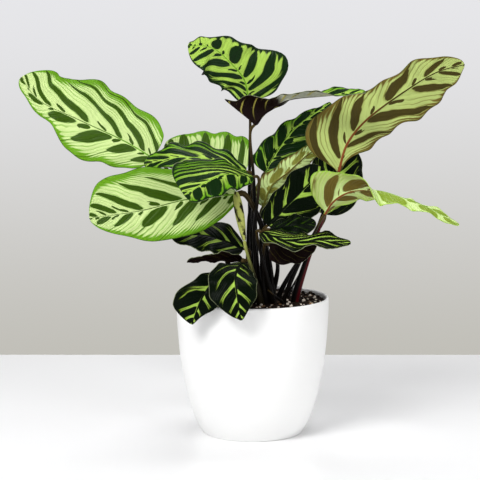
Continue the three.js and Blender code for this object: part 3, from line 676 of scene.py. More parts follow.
def leaf_paint(name, look, leaf, seed):
    """One side of a leaf: lens-shaped marks along the veins on a lighter ground, small ovals between
    them by the midrib, thin lines between, and a darker edge band that runs in along the lines."""
    paint = Paint(name)
    place, aside, off = paint.numbers("vein")
    along, _, _ = paint.numbers("blade")
    right = paint.math("GREATER_THAN", aside, 0)
    out = abs(aside)
    count = leaf.get("count", look["count"])

    def either(pair):
        """The first number on the left half and the second on the right."""
        return pair[0] + right * (pair[1] - pair[0])

    # What makes the pattern uneven: calm quiets it near the tip, where the veins crowd.
    drift = paint.noise(45) - 0.5
    calm = 1 - paint.step(along, 0.75, 1)
    fray = (paint.streaks(place * 90, off * 0.09 + right * 9, seed) - 0.5) * calm

    # The row of marks: each has a cell of its own, and near is how far the point is from its middle.
    closer = paint.math("SINE", place * (2 * math.pi)) * 0.06
    spot = (place + closer) * count + either(leaf.get("shift", SHIFT)) + drift * 0.3
    cell = paint.math("FLOOR", spot + 0.5)
    near = abs(spot - cell)
    lot = paint.chance(cell + right * 31 + seed)
    other = paint.chance(cell + right * 57 + seed + 7)
    start = 0.02 + 0.03 * other

    # The lens-shaped mark.
    if "marks" in leaf:
        rows = [paint.row(cell + 1, side) for side in leaf["marks"]]
        breadth, far = (either([row[i] for row in rows]) for i in (0, 1))
    else:
        breadth = either(leaf.get("broad", BROAD)) * (1 - look["vary"] / 2 + look["vary"] * other)
        far = either(leaf["reach"]) * (0.86 + 0.22 * lot)
    share = paint.math("MAXIMUM", (out - start) / (far - start), 0)
    skewed = share ** look["peak"]
    bulge = paint.math("MAXIMUM", skewed * (1 - skewed) * 4, 0) ** look["round"]
    tail = look["tail"] * paint.step(share, 0.4, 0.8)
    lens = paint.math("MAXIMUM", bulge, tail)
    ragged = fray * look["ragged"]
    patch = paint.step(breadth * lens - near + ragged, 0, 0.03)
    halo = paint.step(breadth * lens - near + ragged, -0.05, 0.02)

    # The small oval between two marks, by the midrib.
    gap = 0.5 - near
    small_share = (out - 0.02) / (0.1 + 0.16 * other)
    small_bulge = paint.math("MAXIMUM", small_share * (1 - small_share) * 4, 0) ** 0.5
    dot = paint.step(look["small"] * (0.35 + lot) * small_bulge - gap + fray * 0.03, 0.005, 0.025)

    # Thin lines, the edge band, the margin and the midrib.
    wave = paint.math("COSINE", (spot + drift * 0.1) * (2 * math.pi * look["lines"]))
    crest = paint.step(wave + fray * 0.7, look["line_low"], 0.98)
    begun = paint.step(out, look["lines_from"], look["lines_from"] + 0.55)
    thin = crest * begun * look["line_share"] * (0.4 + 0.6 * calm)
    feather = look["feather"]
    band_at = look["edge_from"] - look["base_band"] * (1 - paint.step(along, 0.05, 0.4))
    reached = out + wave * calm * feather * 0.4 + drift * 0.12 + fray * feather * 1.6
    band = paint.step(reached, band_at - feather * 0.5, band_at + feather * 0.3)
    border = paint.step(out + fray * 0.03, 0.97, 0.995) * 0.7
    rib_width = look["rib"] * (1.25 - 0.95 * along)
    rib = 1 - paint.step(off, rib_width * 0.55, rib_width * 1.15)

    # The colours, one over the other.
    ground = paint.mix(paint.step(out, 0.2, 0.85), look["ground"], look["outer"])
    # Painted sheen: towards the blade's end the ground turns to a pale grey that stands for light
    # reflected off the underside, and the marks give way to it.
    if "fade" in leaf and "faded" in look:
        faded = paint.step(along, *leaf["fade"])
        ground = paint.mix(faded, ground, look["faded"])
        patch, halo = patch * (1 - faded), halo * (1 - faded)
    colour = paint.mix(thin, ground, look["line"])
    colour = paint.mix(band, colour, look["edge"])
    colour = paint.mix(halo * 0.5, colour, look["rim"])
    marks = paint.math("MAXIMUM", patch, dot)
    colour = paint.mix(marks, colour, look["patch"])
    colour = paint.mix(border, colour, look["border"])
    rib_colour = paint.mix(paint.step(along, 0.05, 0.6), look["rib_foot"], look["rib_tip"])
    colour = paint.mix(rib, colour, rib_colour)
    shade = 0.86 + 0.24 * paint.noise(110, 3) + fray * 0.35
    tint = paint.node("HueSaturation", None, {"Value": shade, "Color": colour})

    ridges = paint.math("COSINE", spot * (2 * math.pi * 6)) * look["vein_lines"]
    paint.bump(ridges + paint.noise(900, 2) * 0.25, 0.35 * MM, 0.8)
    roughness = look["gloss"] + 0.2 * paint.noise(700, 2) - 0.1
    paint.shine(look["shine"])
    return paint.finish(Base_Color=tint.outputs[0], Roughness=roughness)


def stalk_paint(name, foot, top, top_from, right=None):
    """A fleshy stalk: darker at its foot, lighter at its top, with faint lengthwise streaks. The right
    side can have a colour of its own."""
    paint = Paint(name)
    along, turn, _ = paint.numbers("stalk")
    streak = paint.math("SINE", turn * 38 + paint.noise(90) * 6)
    colour = paint.mix(paint.step(along + streak * 0.04, top_from, 1), foot, top)
    if right:
        side = paint.step(paint.math("COSINE", turn * (2 * math.pi)), -0.1, 0.8)
        colour = paint.mix(side, colour, right)
    shade = 0.86 + 0.1 * streak + 0.2 * (paint.noise(160, 3) - 0.5)
    tint = paint.node("HueSaturation", None, {"Value": shade, "Color": colour})
    paint.bump(streak + paint.noise(600), 0.1 * MM, 0.5)
    paint.shine(WAX_SHINE)
    return paint.finish(Base_Color=tint.outputs[0], Roughness=0.34 + 0.1 * paint.noise(400))


def spear_paint(name, pale, dark):
    """The rolled young leaf: mottled, with the dark line of its outer edge winding round it."""
    paint = Paint(name)
    along, turn, _ = paint.numbers("stalk")
    mottle = paint.noise(130, 3) + 0.35 * (paint.noise(420, 2) - 0.5)
    seam = paint.math("COSINE", (turn + 0.6 * along) * (2 * math.pi * 3) + mottle * 2)
    marks = paint.step(mottle + seam * 0.12, 0.48, 0.68)
    paint.bump(seam + paint.noise(600), 0.15 * MM, 0.6)
    paint.shine(WAX_SHINE)
    return paint.finish(Base_Color=paint.mix(marks, pale, dark), Roughness=0.4 + 0.1 * mottle)


def glaze_paint(name, colour):
    """White glaze: even, satin, with the faintest waviness."""
    paint = Paint(name)
    cloud = paint.noise(18, 2)
    paint.bump(paint.noise(40, 2), 0.15 * MM, 0.25)
    shade = paint.mix(cloud * 0.25, colour, tuple(0.97 * c for c in colour))
    paint.shader.inputs["Coat Roughness"].default_value = 0.12
    return paint.finish(Base_Color=shade, Roughness=0.36 + 0.06 * cloud, Coat_Weight=0.25)


def peat_paint(name, dark, light):
    """Damp soil: near black, with drier crumbs."""
    paint = Paint(name)
    clod = paint.noise(330, 4)
    fleck = paint.noise(1500, 2)
    dry = paint.step(clod + (fleck - 0.5) * 0.5, 0.52, 0.72)
    paint.bump(clod + fleck * 0.5, 0.8 * MM, 0.9)
    paint.shine(WAX_SHINE)
    return paint.finish(Base_Color=paint.mix(dry, dark, light), Roughness=0.92 - 0.15 * fleck)


def grain_paint(name, colour, shade, gloss):
    """Mineral grains or bits of bark, each of its own tone."""
    paint = Paint(name)
    tone = paint.step(paint.noise(260, 3), 0.35, 0.7)
    paint.bump(paint.noise(2200, 2), 0.2 * MM, 0.8)
    return paint.finish(Base_Color=paint.mix(tone, shade, colour), Roughness=gloss + 0.1 * tone)


def floor_paint(name, colour):
    """A plain pale floor with a faint sheen."""
    paint = Paint(name)
    cloud = paint.noise(3, 2)
    shade = paint.mix(cloud * 0.3, colour, tuple(0.985 * c for c in colour))
    return paint.finish(Base_Color=shade, Roughness=0.3 + 0.1 * cloud)


# ---- Shaping ----


class Path:
    """A smooth curve through points, with its places given as shares of its length."""

    def __init__(self, points, steps=200):
        self.points = [Vector(p) for p in points]
        self.spans = [self.span(i) for i in range(len(points) - 1)]
        self.steps = steps
        line = [self.at_time(i / steps)[0] for i in range(steps + 1)]
        self.lengths = [0.0]
        for before, after in zip(line, line[1:]):
            self.lengths.append(self.lengths[-1] + (after - before).length)

    def span(self, i):
        """The four weights of the cubic between point i and the next."""
        p = self.points
        here, there = p[i], p[i + 1]
        before = p[i - 1] if i > 0 else 2 * here - there
        after = p[i + 2] if i + 2 < len(p) else 2 * there - here
        times = [math.sqrt((b - a).length) for a, b in ((before, here), (here, there), (there, after))]
        gone, now, next_one = times
        start = (here - before) / gone - (there - before) / (gone + now) + (there - here) / now
        end = (there - here) / now - (after - here) / (now + next_one) + (after - there) / next_one
        start, end = start * now, end * now
        return here, start, 3 * (there - here) - 2 * start - end, 2 * (here - there) + start + end

    def at_time(self, time):
        """Point and direction at a time from 0 to 1."""
        place = time * len(self.spans)
        i = min(int(place), len(self.spans) - 1)
        w = place - i
        a, b, c, d = self.spans[i]
        return a + b * w + c * w * w + d * w ** 3, (b + 2 * c * w + 3 * d * w * w).normalized()

    def at(self, share):
        """Point and direction at a share of the length."""
        goal = share * self.lengths[-1]
        i = min(max(bisect.bisect_right(self.lengths, goal) - 1, 0), self.steps - 1)
        part = (goal - self.lengths[i]) / max(self.lengths[i + 1] - self.lengths[i], 1e-9)
        return self.at_time((i + part) / self.steps)

    @property
    def length(self):
        return self.lengths[-1]


@functools.cache
def half_width(widths, s):
    """Width from the midrib to the edge at s, smoothly between the places of the table."""
    last = len(widths) + 1
    stations = [-widths[0], 0, *widths, 0, -widths[-1]]
    place = math.acos(1 - 2 * s) / math.pi * last
    i = min(int(place), last - 1)
    a, b, c, d = stations[i:i + 4]
    w = place - i
    return max(0.0, b + w / 2 * (c - a + w * (2 * a - 5 * b + 4 * c - d + w * (3 * (b - c) + d - a))))


def facing(faces, s):
    """Where the top side looks at s."""
    last = len(faces) - 1
    if last == 0:
        return Vector(faces[0]).normalized()
    i = min(int(s * last), last - 1)
    start, end = Vector(faces[i]).normalized(), Vector(faces[i + 1]).normalized()
    return start.lerp(end, s * last - i)


def between(values, s):
    """The number at s, in a list that runs from base to tip."""
    last = len(values) - 1
    i = min(int(s * last), max(last - 1, 0))
    return values[i] + (values[min(i + 1, last)] - values[i]) * (s * last - i)


def leave_all():
    """Nothing selected, so that an operator acts on what is made next."""
    bpy.ops.object.select_all(action="DESELECT")


def take(piece):
    """Only this piece selected and active."""
    leave_all()
    piece.select_set(True)
    bpy.context.view_layer.objects.active = piece


def seat(piece, node_names, slot):
    """The piece rides with the pot and stands for these solids."""
    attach(piece, BODY)
    if node_names:
        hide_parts(*node_names)


def shaped_grid(name, columns, rows, place):
    """A grid primitive, each of its points set to what place gives for its share across and along."""
    leave_all()
    bpy.ops.mesh.primitive_grid_add(x_subdivisions=columns, y_subdivisions=rows, size=2)
    piece = bpy.context.object
    piece.name = name
    piece.data.name = name
    for vertex in piece.data.vertices:
        across = round((vertex.co.x + 1) / 2 * columns) / columns
        along = round((vertex.co.y + 1) / 2 * rows) / rows
        vertex.co = place(across, along)
    return piece


def in_edit_mode(piece, *steps):
    """Runs these steps on the whole mesh in edit mode."""
    take(piece)
    bpy.ops.object.mode_set(mode="EDIT")
    bpy.ops.mesh.select_all(action="SELECT")
    for step in steps:
        step()
    bpy.ops.object.mode_set(mode="OBJECT")


def merge_seam():
    bpy.ops.mesh.remove_doubles(threshold=0.005 * MM)


def close_ends():
    bpy.ops.mesh.select_all(action="SELECT")
    bpy.ops.mesh.fill_holes(sides=0)


def face_outwards():
    bpy.ops.mesh.select_all(action="SELECT")
    bpy.ops.mesh.normals_make_consistent(inside=False)


def store(piece, name, values):
    """Keeps three numbers for each point of the mesh."""
    layer = piece.data.attributes.new(name, "FLOAT_VECTOR", "POINT")
    layer.data.foreach_set("vector", [number for value in values for number in value])


# ---- Leaves ----

# The grid of a blade: its rows for each millimetre of length, the least number of rows, its columns
# and how much closer these stand near the midrib. Then the puckers between the veins, their number and
# height, the depth and width of the groove over the midrib, and the frill as a share of the ruffle.
ROWS_TO_MM = 0.85
LEAST_ROWS = 44
COLUMNS = 44
CROWDING = 1.35
PUCKERS = 12
PUCKER = 0.32
GROOVE = 0.22
GROOVE_WIDTH = 0.8
FRILL = 0.7


class Blade:
    """The middle surface of one leaf."""

    def __init__(self, leaf, seed):
        self.leaf = leaf
        self.seed = seed
        self.path = Path(leaf["midrib"])

    def section(self, s):
        """What all points at s share: point, across, normal."""
        point, tangent = self.path.at(s)
        normal = facing(self.leaf["faces"], s)
        normal = (normal - tangent * normal.dot(tangent)).normalized()
        return point, tangent.cross(normal), normal

    def width(self, s, side):
        ends = NECK_HALF_WIDTH * (1 - s) + TIP_HALF_WIDTH * s
        return ends + half_width(self.leaf["left" if side < 0 else "right"], s)

    def vein(self, s, side, t):
        """Where the vein through this point leaves the midrib, as a share of the midrib."""
        low, high = self.leaf.get("lean", LEAN)[0 if side < 0 else 1]
        off = self.width(s, side) * t
        return s - (low + (high - low) * s) * off / self.path.length * (0.85 + 0.25 * t)

    def point(self, section, s, side, t):
        leaf = self.leaf
        centre, across, normal = section
        width = self.width(s, side)
        phase = 2 * math.pi * leaf["waves"] * s + (0 if side < 0 else EDGE_SHIFT)
        calm = max(0.0, math.sin(math.pi * s)) ** END_CALM
        angle = math.radians(between(leaf["fold"], s) - 0.5 * leaf["arch"] * t)
        wave = leaf["ruffle"] * calm * t
        out = width * t * math.cos(angle) + SCALLOP * wave * math.cos(phase)
        up = width * t * math.sin(angle) + wave * t * math.sin(phase)
        ripple = noise.noise(Vector((s * 9 + self.seed, side * 3, self.seed)))
        up += FRILL * calm * t ** 3 * ripple * leaf["ruffle"]
        out += FRILL * calm * t ** 3 * ripple * 0.8
        vein = self.vein(s, side, t)
        up += PUCKER * calm * min(t * 4, 1) * math.cos(2 * math.pi * PUCKERS * vein)
        up -= GROOVE * math.exp(-((width * t / GROOVE_WIDTH) ** 2))
        return (centre + across * side * out + normal * up) * MM


def leaf_side(across):
    """Side and share of the half blade for a share of the whole width."""
    signed = 2 * across - 1
    return (-1 if signed < 0 else 1), abs(signed) ** CROWDING


def build_leaf(name, leaf, seed, colours, looks):
    """One blade: a shaped grid, thickened, with its midrib raised below."""
    blade = Blade(leaf, seed)
    rows = max(LEAST_ROWS, round(blade.path.length * ROWS_TO_MM))
    vein_values, blade_values, sections = [], [], {}

    def place(across, along):
        s = 0.5 - 0.5 * math.cos(math.pi * along)
        if s not in sections:
            sections[s] = blade.section(s)
        side, t = leaf_side(across)
        vein_values.append((blade.vein(s, side, t), side * t, blade.width(s, side) * t))
        blade_values.append((s, 0, 0))
        return blade.point(sections[s], s, side, t)

    # For each point, "vein" holds where its vein leaves the midrib, its signed share across and its
    # distance from the midrib, and "blade" its share along.
    piece = shaped_grid(name + "_blade", COLUMNS, rows, place)
    store(piece, "vein", vein_values)
    store(piece, "blade", blade_values)
    piece.data.materials.append(leaf_paint(name + "_top", looks[leaf["top"]], leaf, seed))
    piece.data.materials.append(leaf_paint(name + "_under", looks[leaf["under"]], leaf, seed))
    take(piece)
    bpy.ops.object.modifier_add(type="SOLIDIFY")
    skin = piece.modifiers[-1]
    skin.thickness = colours.thickness
    skin.offset = 0
    skin.material_offset = 1
    bpy.ops.object.modifier_apply(modifier=skin.name)
    raise_midrib(piece, colours.rib)
    bpy.ops.object.shade_smooth()
    seat(piece, [name], leaf.get("slot", "leaf_dark"))
    return piece


def raise_midrib(piece, height):
    """Moves the underside's points near the midrib outwards, most at the base."""
    mesh = piece.data
    under = {v for face in mesh.polygons if face.material_index == 1 for v in face.vertices}
    off = mesh.attributes["vein"].data
    along = mesh.attributes["blade"].data
    normals = [normal.vector.copy() for normal in mesh.vertex_normals]
    for i in under:
        taper = 1 - 0.7 * along[i].vector.x
        spread = 1.1 * taper + 0.25
        rise = height * taper * math.exp(-((off[i].vector.z / spread) ** 2))
        mesh.vertices[i].co += normals[i] * rise


# ---- Stalks ----

# A stalk's sides, its steps for each millimetre, the length and swelling of the knee below the blade,
# the depth of its flutes, and how much, where and over which length its sheath swells it.
STALK_SIDES = 14
STALK_STEPS_TO_MM = 0.45
KNEE_LENGTH = 9
KNEE_SWELL = 0.22
FLUTE = 0.035
SHEATH_SWELL = 0.8
SHEATH_MIDDLE = 8
SHEATH_LENGTH = 24


def root_points(foot):
    x, y = foot
    return [(x, y, SOIL_LEVEL - HOLE_DEPTH + 1), (x, y, SOIL_LEVEL + FOOT_RISE)]


def stalk_path(leaf):
    """From the hole in the soil to the blade, which it meets end on."""
    start = Path(leaf["midrib"]).at_time(0)[1]
    end = Vector(leaf["midrib"][0]) - SEAT_GAP * start
    bend = end - STALK_END * start
    return Path([*root_points(leaf["foot"]), *leaf["via"], bend, end])


def rod(name, path, radius_at, sides=STALK_SIDES, steps=None):
    """A round rod along a path: a grid rolled up, merged along its seam and closed at its ends."""
    steps = steps or max(24, round(path.length * STALK_STEPS_TO_MM))
    sections = []
    normal = Vector((1, 0, 0))
    for i in range(steps + 1):
        point, tangent = path.at(i / steps)
        normal = (normal - tangent * normal.dot(tangent)).normalized()
        sections.append((point, normal.copy(), tangent.cross(normal)))

    values = []

    def place(across, along):
        point, first, second = sections[round(along * steps)]
        angle = 2 * math.pi * across
        radius = radius_at(along, angle)
        values.append((along, across, 0))
        return (point + radius * (math.cos(angle) * first + math.sin(angle) * second)) * MM

    piece = shaped_grid(name, sides, steps, place)
    store(piece, "stalk", values)
    in_edit_mode(piece, merge_seam, close_ends, face_outwards)
    bpy.ops.object.shade_smooth()
    return piece


def build_stalk(name, leaf, material, slot):
    """One stalk: flat wings of its sheath at the foot, and a swollen knee just below the blade."""
    path = stalk_path(leaf)
    foot, top = leaf.get("radius", STALK_RADIUS)
    swell = leaf.get("swell", SHEATH_SWELL)
    turn = sum(leaf["foot"])

    def radius_at(along, angle):
        radius = top + (foot - top) * (1 - along) ** STALK_TAPER
        from_end = (1 - along) * path.length
        knee = KNEE_SWELL * math.exp(-((from_end - KNEE_LENGTH * 0.5) / (KNEE_LENGTH * 0.4)) ** 2)
        flute = FLUTE * math.cos(3 * angle)
        height = along * path.length - HOLE_DEPTH - FOOT_RISE
        sheath = swell * math.exp(-((height - SHEATH_MIDDLE) / SHEATH_LENGTH) ** 2)
        sheath *= 0.75 + 0.45 * math.cos(2 * (angle + turn))
        return radius * (1 + knee + flute + sheath)

    piece = rod(name + "_rod", path, radius_at)
    piece.data.materials.append(material)
    seat(piece, [name], slot)
    return piece


# ---- Operators ----


# In metres: the floor's left, right, front and back edges, the lights, each with its place, what it
# shines at, its size and the value that gives its power, and the camera's place, a little above the
# leaves, which it looks down on by its tilt.
FLOOR_EDGES = (-2.2, 2.2, -1.9, 0.36)
LIGHTS = {
    "key": ((-0.75, -1.1, 1.35), (0, 0, 0.22), 0.7, "key"),
    "fill": ((1.3, -1.2, 0.9), (0, 0, 0.2), 1.2, "fill"),
    "top": ((0.2, 0.4, 1.5), (0, 0, 0.25), 0.8, "fill"),
}
CAMERA_PLACE = (-0.012, -1.5, 0.378)
CAMERA_TILT = math.radians(7.37)
SENSOR_WIDTH = 36
LENS = 119.6


class CALATHEA_OT_stage(bpy.types.Operator):
    """Adds the floor, the soft lights and the camera"""

    bl_idname = "calathea.stage"
    bl_label = "Stage"

    def execute(self, context):
        look = context.scene.calathea_stage
        scene = context.scene
        scene.view_settings.view_transform = "Standard"
        leave_all()
        bpy.ops.mesh.primitive_plane_add(size=1)
        floor = context.object
        floor.name = "floor"
        left, right, front, back = FLOOR_EDGES
        for vertex in floor.data.vertices:
            x = left if vertex.co.x < 0 else right
            vertex.co = (x, front if vertex.co.y < 0 else back, 0)
        floor.data.materials.append(floor_paint("floor", look.floor))
        for name, (place, aim, size, power) in LIGHTS.items():
            self.add_light(name, place, aim, size, getattr(look, power))
        self.set_around(scene, look)
        self.set_camera(scene)
        return {"FINISHED"}

    def add_light(self, name, place, aim, size, power):
        """A square soft light at place that shines at aim."""
        leave_all()
        bpy.ops.object.light_add(type="AREA", location=place)
        light = bpy.context.object
        light.name = name
        light.data.size = size
        light.data.energy = power
        light.rotation_euler = (Vector(aim) - Vector(place)).to_track_quat("-Z", "Y").to_euler()

    def set_around(self, scene, look):
        """Pale light from all round, with less of it from above."""
        world = scene.world or bpy.data.worlds.new("World")
        scene.world = world
        world.use_nodes = True
        nodes = Nodes(world.node_tree)
        direction = nodes.node("TexCoord").outputs["Generated"]
        height = Tone(nodes, nodes.node("SeparateXYZ", None, {"Vector": direction}).outputs["Z"])
        background = next(n for n in world.node_tree.nodes if n.type == "BACKGROUND")
        shade = nodes.mix(nodes.step(height, -0.24, 0.04), look.low_wall, look.wall)
        nodes.feed(background.inputs["Color"], shade)
        overhead = nodes.step(height, 0.03, 0.25)
        nodes.feed(background.inputs["Strength"], 1 - overhead * (1 - look.overhead))

    def set_camera(self, scene):
        """The camera stands in front of the plant and looks slightly down."""
        leave_all()
        turn = (math.pi / 2 - CAMERA_TILT, 0, 0)
        bpy.ops.object.camera_add(location=CAMERA_PLACE, rotation=turn)
        camera = bpy.context.object
        camera.name = "camera"
        camera.data.sensor_width = SENSOR_WIDTH
        camera.data.lens = LENS
        scene.camera = camera


POT_SIDES = 176
WALL_STEPS = 40
FOOT_STEPS = 5
LIP_STEPS = 8


class CALATHEA_OT_pot(bpy.types.Operator):
    """Turns the pot from a ring, drawn up its wall, over the lip and down inside"""

    bl_idname = "calathea.pot"
    bl_label = "Pot"

    def execute(self, context):
        sizes = context.scene.calathea_pot
        profile = self.profile(sizes)
        leave_all()
        bpy.ops.mesh.primitive_circle_add(vertices=POT_SIDES, radius=profile[0][0], fill_type="NGON")
        pot = context.object
        pot.name = "pot_shell"
        bpy.ops.object.mode_set(mode="EDIT")
        bpy.ops.mesh.select_all(action="SELECT")
        for (radius, height), (next_radius, next_height) in zip(profile, profile[1:]):
            rise = {"value": (0, 0, next_height - height)}
            bpy.ops.mesh.extrude_region_move(TRANSFORM_OT_translate=rise)
            grow = next_radius / radius
            bpy.ops.transform.resize(value=(grow, grow, 1), center_override=(0, 0, next_height))
        face_outwards()
        bpy.ops.object.mode_set(mode="OBJECT")
        bpy.ops.object.shade_smooth_by_angle(angle=math.radians(50))
        pot.data.materials.append(glaze_paint("glaze", sizes.glaze))
        seat(pot, ["pot"], "pot")
        return {"FINISHED"}

    def profile(self, sizes):
        """Radius and height from the underside up the outside, over the lip and down inside."""
        outside = []
        for i in range(WALL_STEPS + 1):
            share = 1 - math.cos(math.pi / 2 * i / WALL_STEPS)
            z = sizes.rounding + (sizes.height - 2 * sizes.rounding) * share
            outside.append((pot_radius(sizes, z), z))
        foot = []
        for i in range(FOOT_STEPS):
            angle = math.pi / 2 * i / FOOT_STEPS
            ring = pot_radius(sizes, sizes.rounding) - sizes.rounding * (1 - math.sin(angle))
            foot.append((ring, sizes.rounding * (1 - math.cos(angle))))
        lip = []
        middle = sizes.rim_radius - sizes.wall / 2
        for i in range(1, LIP_STEPS):
            angle = math.pi * i / LIP_STEPS
            lip.append((
                middle + sizes.wall / 2 * math.cos(angle),
                sizes.height - sizes.rounding + sizes.rounding * math.sin(angle),
            ))
        inside = [(radius - sizes.wall, z) for radius, z in reversed(outside) if z > sizes.floor * 2]
        bottom = [(pot_radius(sizes, sizes.floor) - 3 * sizes.wall, sizes.floor)]
        return foot + outside + lip + inside + bottom


def pot_radius(sizes, z):
    """The wall swells quickly above the base and is nearly upright at the rim."""
    rise = 1 - (1 - z / sizes.height) ** 2
    return sizes.base_radius + (sizes.rim_radius - sizes.base_radius) * rise ** (2 / 3)


# Millimetres, but SOIL_UNDERSIDE is the underside's share of the radius, and BOTTOM_ROWS and TOP_FROM
# are shares of the grid's rows.
SOIL_RADIUS = 68.2
SOIL_CROWN = 1.2
SOIL_HEAP = 2.2
SOIL_BOTTOM = 100
SOIL_UNDERSIDE = 0.9
BOTTOM_ROWS = 0.03
TOP_FROM = 0.06
FOOT_CLEARANCE = 4


def soil_height(x, y):
    """The lumpy top of the soil, in millimetres."""
    radius = math.hypot(x, y)
    crown = SOIL_CROWN * (1 - radius / SOIL_RADIUS)
    lumps = 1.5 * noise.noise(Vector((x, y, 3)) / 14) + 0.9 * noise.noise(Vector((x, y, 9)) / 5)
    crumbs = 0.55 * noise.noise(Vector((x, y, 21)) / 1.9)
    calm = min(1.0, (SOIL_RADIUS - radius) / 3)
    heap = SOIL_HEAP * min(max((radius - 46) / 18, 0), 1) * min(max(-y / 40, 0), 1)
    return SOIL_LEVEL + crown + heap + (lumps + crumbs) * calm


class CALATHEA_OT_soil(bpy.types.Operator):
    """Fills the pot with soil that has a lumpy top"""

    bl_idname = "calathea.soil"
    bl_label = "Soil"

    def execute(self, context):
        look = context.scene.calathea_soil

        def place(across, along):
            angle = 2 * math.pi * across
            if along < TOP_FROM:
                radius = SOIL_RADIUS * SOIL_UNDERSIDE * min(along / BOTTOM_ROWS, 1)
                z = SOIL_BOTTOM
            else:
                radius = SOIL_RADIUS * (1 - (along - TOP_FROM) / (1 - TOP_FROM))
                z = None
            x, y = radius * math.cos(angle), radius * math.sin(angle)
            return Vector((x, y, soil_height(x, y) if z is None else z)) * MM

        soil = shaped_grid("soil_bed", 240, 100, place)
        in_edit_mode(soil, merge_seam, face_outwards)
        bpy.ops.object.shade_smooth()
        soil.data.materials.append(peat_paint("peat", look.peat, look.dry))
        seat(soil, ["soil"], "soil")
        return {"FINISHED"}


class CALATHEA_OT_grains(bpy.types.Operator):
    """Scatters pale grains, bits of bark and dark crumbs over the soil"""

    bl_idname = "calathea.grains"
    bl_label = "Grains"

    def execute(self, context):
        look = context.scene.calathea_soil
        draw = random.Random(5)
        pale = grain_paint("grain", look.grain, tuple(0.6 * c for c in look.grain), 0.8)
        bark = grain_paint("bark", look.bark, tuple(0.35 * c for c in look.bark), 0.75)
        peat = peat_paint("crumb", look.peat, look.dry)
        self.scatter("soil_grains", look.grains, (0.7, 1.9), (1, 1, 0.8), pale, draw)
        self.scatter("soil_bark", look.chips, (1.2, 3.4), (1, 0.45, 0.28), bark, draw)
        self.scatter("soil_crumbs", look.crumbs, (0.8, 2.6), (1, 0.8, 0.65), peat, draw)
        return {"FINISHED"}

    def scatter(self, name, count, sizes, shape, material, draw):
        """One rough lump, copied over the soil at random sizes and turns, as one piece."""
        leave_all()
        bpy.ops.mesh.primitive_ico_sphere_add(subdivisions=2, radius=1)
        model = bpy.context.object
        for vertex in model.data.vertices:
            vertex.co *= 1 + 0.35 * noise.noise(vertex.co * 1.7 + Vector((count, 0, 0)))
        copies = []
        feet = [leaf["foot"] for leaf in [*LEAVES.values(), YOUNG_LEAF]]
        while len(copies) < count:
            radius = SOIL_RADIUS * 0.965 * draw.random() ** 0.4
            angle = 2 * math.pi * draw.random()
            x, y = radius * math.cos(angle), radius * math.sin(angle)
            size = sizes[0] + (sizes[1] - sizes[0]) * draw.random() ** 2
            clear = FOOT_CLEARANCE + size * 0.5
            if any(math.hypot(x - foot_x, y - foot_y) < clear for foot_x, foot_y in feet):
                continue
            turn = Euler([draw.uniform(-0.5, 0.5), draw.uniform(-0.5, 0.5), draw.uniform(0, 6.28)])
            scale = Matrix.Diagonal([s * size * MM for s in shape]).to_4x4()
            place = Vector((x, y, soil_height(x, y) + 0.25 * size * shape[2])) * MM
            lump = model.copy()
            lump.data = model.data.copy()
            lump.data.transform(Matrix.Translation(place) @ turn.to_matrix().to_4x4() @ scale)
            bpy.context.scene.collection.objects.link(lump)
            copies.append(lump)
        bpy.data.objects.remove(model)
        leave_all()
        for lump in copies:
            lump.select_set(True)
        bpy.context.view_layer.objects.active = copies[0]
        bpy.ops.object.join()
        piece = bpy.context.object
        piece.name = name
        piece.data.materials.append(material)
        bpy.ops.object.shade_smooth_by_angle(angle=math.radians(40))
        seat(piece, [], "soil")


class CALATHEA_OT_leaves(bpy.types.Operator):
    """Builds every open leaf"""

    bl_idname = "calathea.leaves"
    bl_label = "Leaves"

    def execute(self, context):
        colours = context.scene.calathea_leaves
        looks = leaf_looks(colours)
        for seed, (name, leaf) in enumerate(LEAVES.items()):
            build_leaf(name, leaf, seed, colours, looks)
        return {"FINISHED"}


class CALATHEA_OT_stalks(bpy.types.Operator):
    """Builds every leaf's stalk and the old leaf bases"""

    bl_idname = "calathea.stalks"
    bl_label = "Stalks"

    def execute(self, context):
        look = context.scene.calathea_stalks
        plain = stalk_paint("stalk", look.bark, look.bronze, 0.72)
        red = stalk_paint("red_stalk", look.bark, look.bronze, 0.72, look.wine)
        for name, leaf in LEAVES.items():
            material = red if leaf.get("radius") == RED_STALK_RADIUS else plain
            build_stalk(name.replace("leaf", "stalk"), leaf, material, "stalk")
        for name, (foot, middle, point) in SHEATHS.items():
            path = Path([*root_points(foot), middle, point])
            base, top = SHEATH_RADIUS
            piece = rod(
                name + "_husk", path,
                lambda along, angle: (top + (base - top) * (1 - along) ** STALK_TAPER)
                * (1 + 0.08 * math.cos(2 * angle)),
            )
            piece.data.materials.append(plain)
            seat(piece, [name], "stalk")
        return {"FINISHED"}


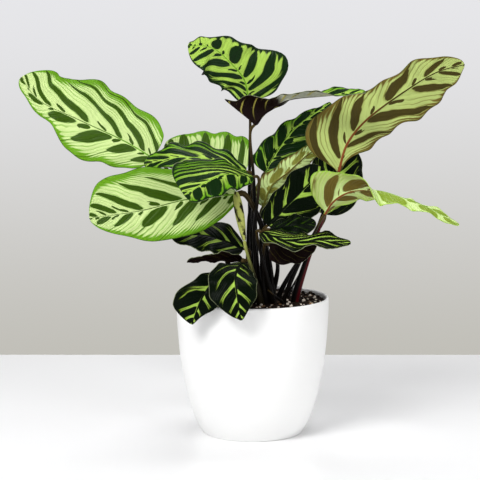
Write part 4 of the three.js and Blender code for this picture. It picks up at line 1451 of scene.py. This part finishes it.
class CALATHEA_OT_young_leaf(bpy.types.Operator):
    """Builds the rolled young leaf on its stalk"""

    bl_idname = "calathea.young_leaf"
    bl_label = "Young leaf"

    def execute(self, context):
        look = context.scene.calathea_stalks
        paint = spear_paint("spear", look.spear, look.husk)
        foot_paint = stalk_paint("young_stalk", look.husk, look.spear, 0.5)
        path = Path(YOUNG_LEAF["midrib"])

        def radius_at(along, angle):
            ends = NECK_HALF_WIDTH * (1 - along) + TIP_HALF_WIDTH * along
            radius = ends + half_width(YOUNG_LEAF["roll"], along)
            turn = (angle / (2 * math.pi) + 0.6 * along) % 1
            return radius * (0.9 + 0.12 * turn)

        piece = rod("young_leaf_roll", path, radius_at, sides=32, steps=60)
        piece.data.materials.append(paint)
        seat(piece, ["young_leaf"], "young_leaf")
        build_stalk("young_stalk", YOUNG_LEAF, foot_paint, "young_leaf")
        return {"FINISHED"}


class CALATHEA_PT_panel(bpy.types.Panel):
    """Lists what can be changed, and a button for each piece"""

    bl_label = "Potted calathea"
    bl_idname = "CALATHEA_PT_panel"
    bl_space_type = "VIEW_3D"
    bl_region_type = "UI"
    bl_category = "Calathea"

    def draw(self, context):
        layout = self.layout
        for name, label, group, operators in PANEL_ROWS:
            box = layout.box()
            box.label(text=label)
            values = getattr(context.scene, name)
            for prop in group.__annotations__:
                box.prop(values, prop)
            for operator in operators:
                box.operator(operator.bl_idname)


PANEL_ROWS = (
    ("calathea_pot", "Pot", CalatheaPot, (CALATHEA_OT_pot,)),
    ("calathea_soil", "Soil", CalatheaSoil, (CALATHEA_OT_soil, CALATHEA_OT_grains)),
    ("calathea_leaves", "Leaves", CalatheaLeaves, (CALATHEA_OT_leaves,)),
    ("calathea_stalks", "Stalks", CalatheaStalks, (CALATHEA_OT_stalks, CALATHEA_OT_young_leaf)),
    ("calathea_stage", "Stage", CalatheaStage, (CALATHEA_OT_stage,)),
)


def register():
    for name, _, group, operators in PANEL_ROWS:
        bpy.utils.register_class(group)
        setattr(bpy.types.Scene, name, bpy.props.PointerProperty(type=group))
        for operator in operators:
            bpy.utils.register_class(operator)
    bpy.utils.register_class(CALATHEA_PT_panel)


def unregister():
    bpy.utils.unregister_class(CALATHEA_PT_panel)
    for name, _, group, operators in reversed(PANEL_ROWS):
        for operator in reversed(operators):
            bpy.utils.unregister_class(operator)
        delattr(bpy.types.Scene, name)
        bpy.utils.unregister_class(group)


def main():
    register()
    bpy.ops.calathea.stage()
    bpy.ops.calathea.pot()
    bpy.ops.calathea.soil()
    bpy.ops.calathea.grains()
    bpy.ops.calathea.leaves()
    bpy.ops.calathea.stalks()
    bpy.ops.calathea.young_leaf()


if __name__ == "__main__":
    main()
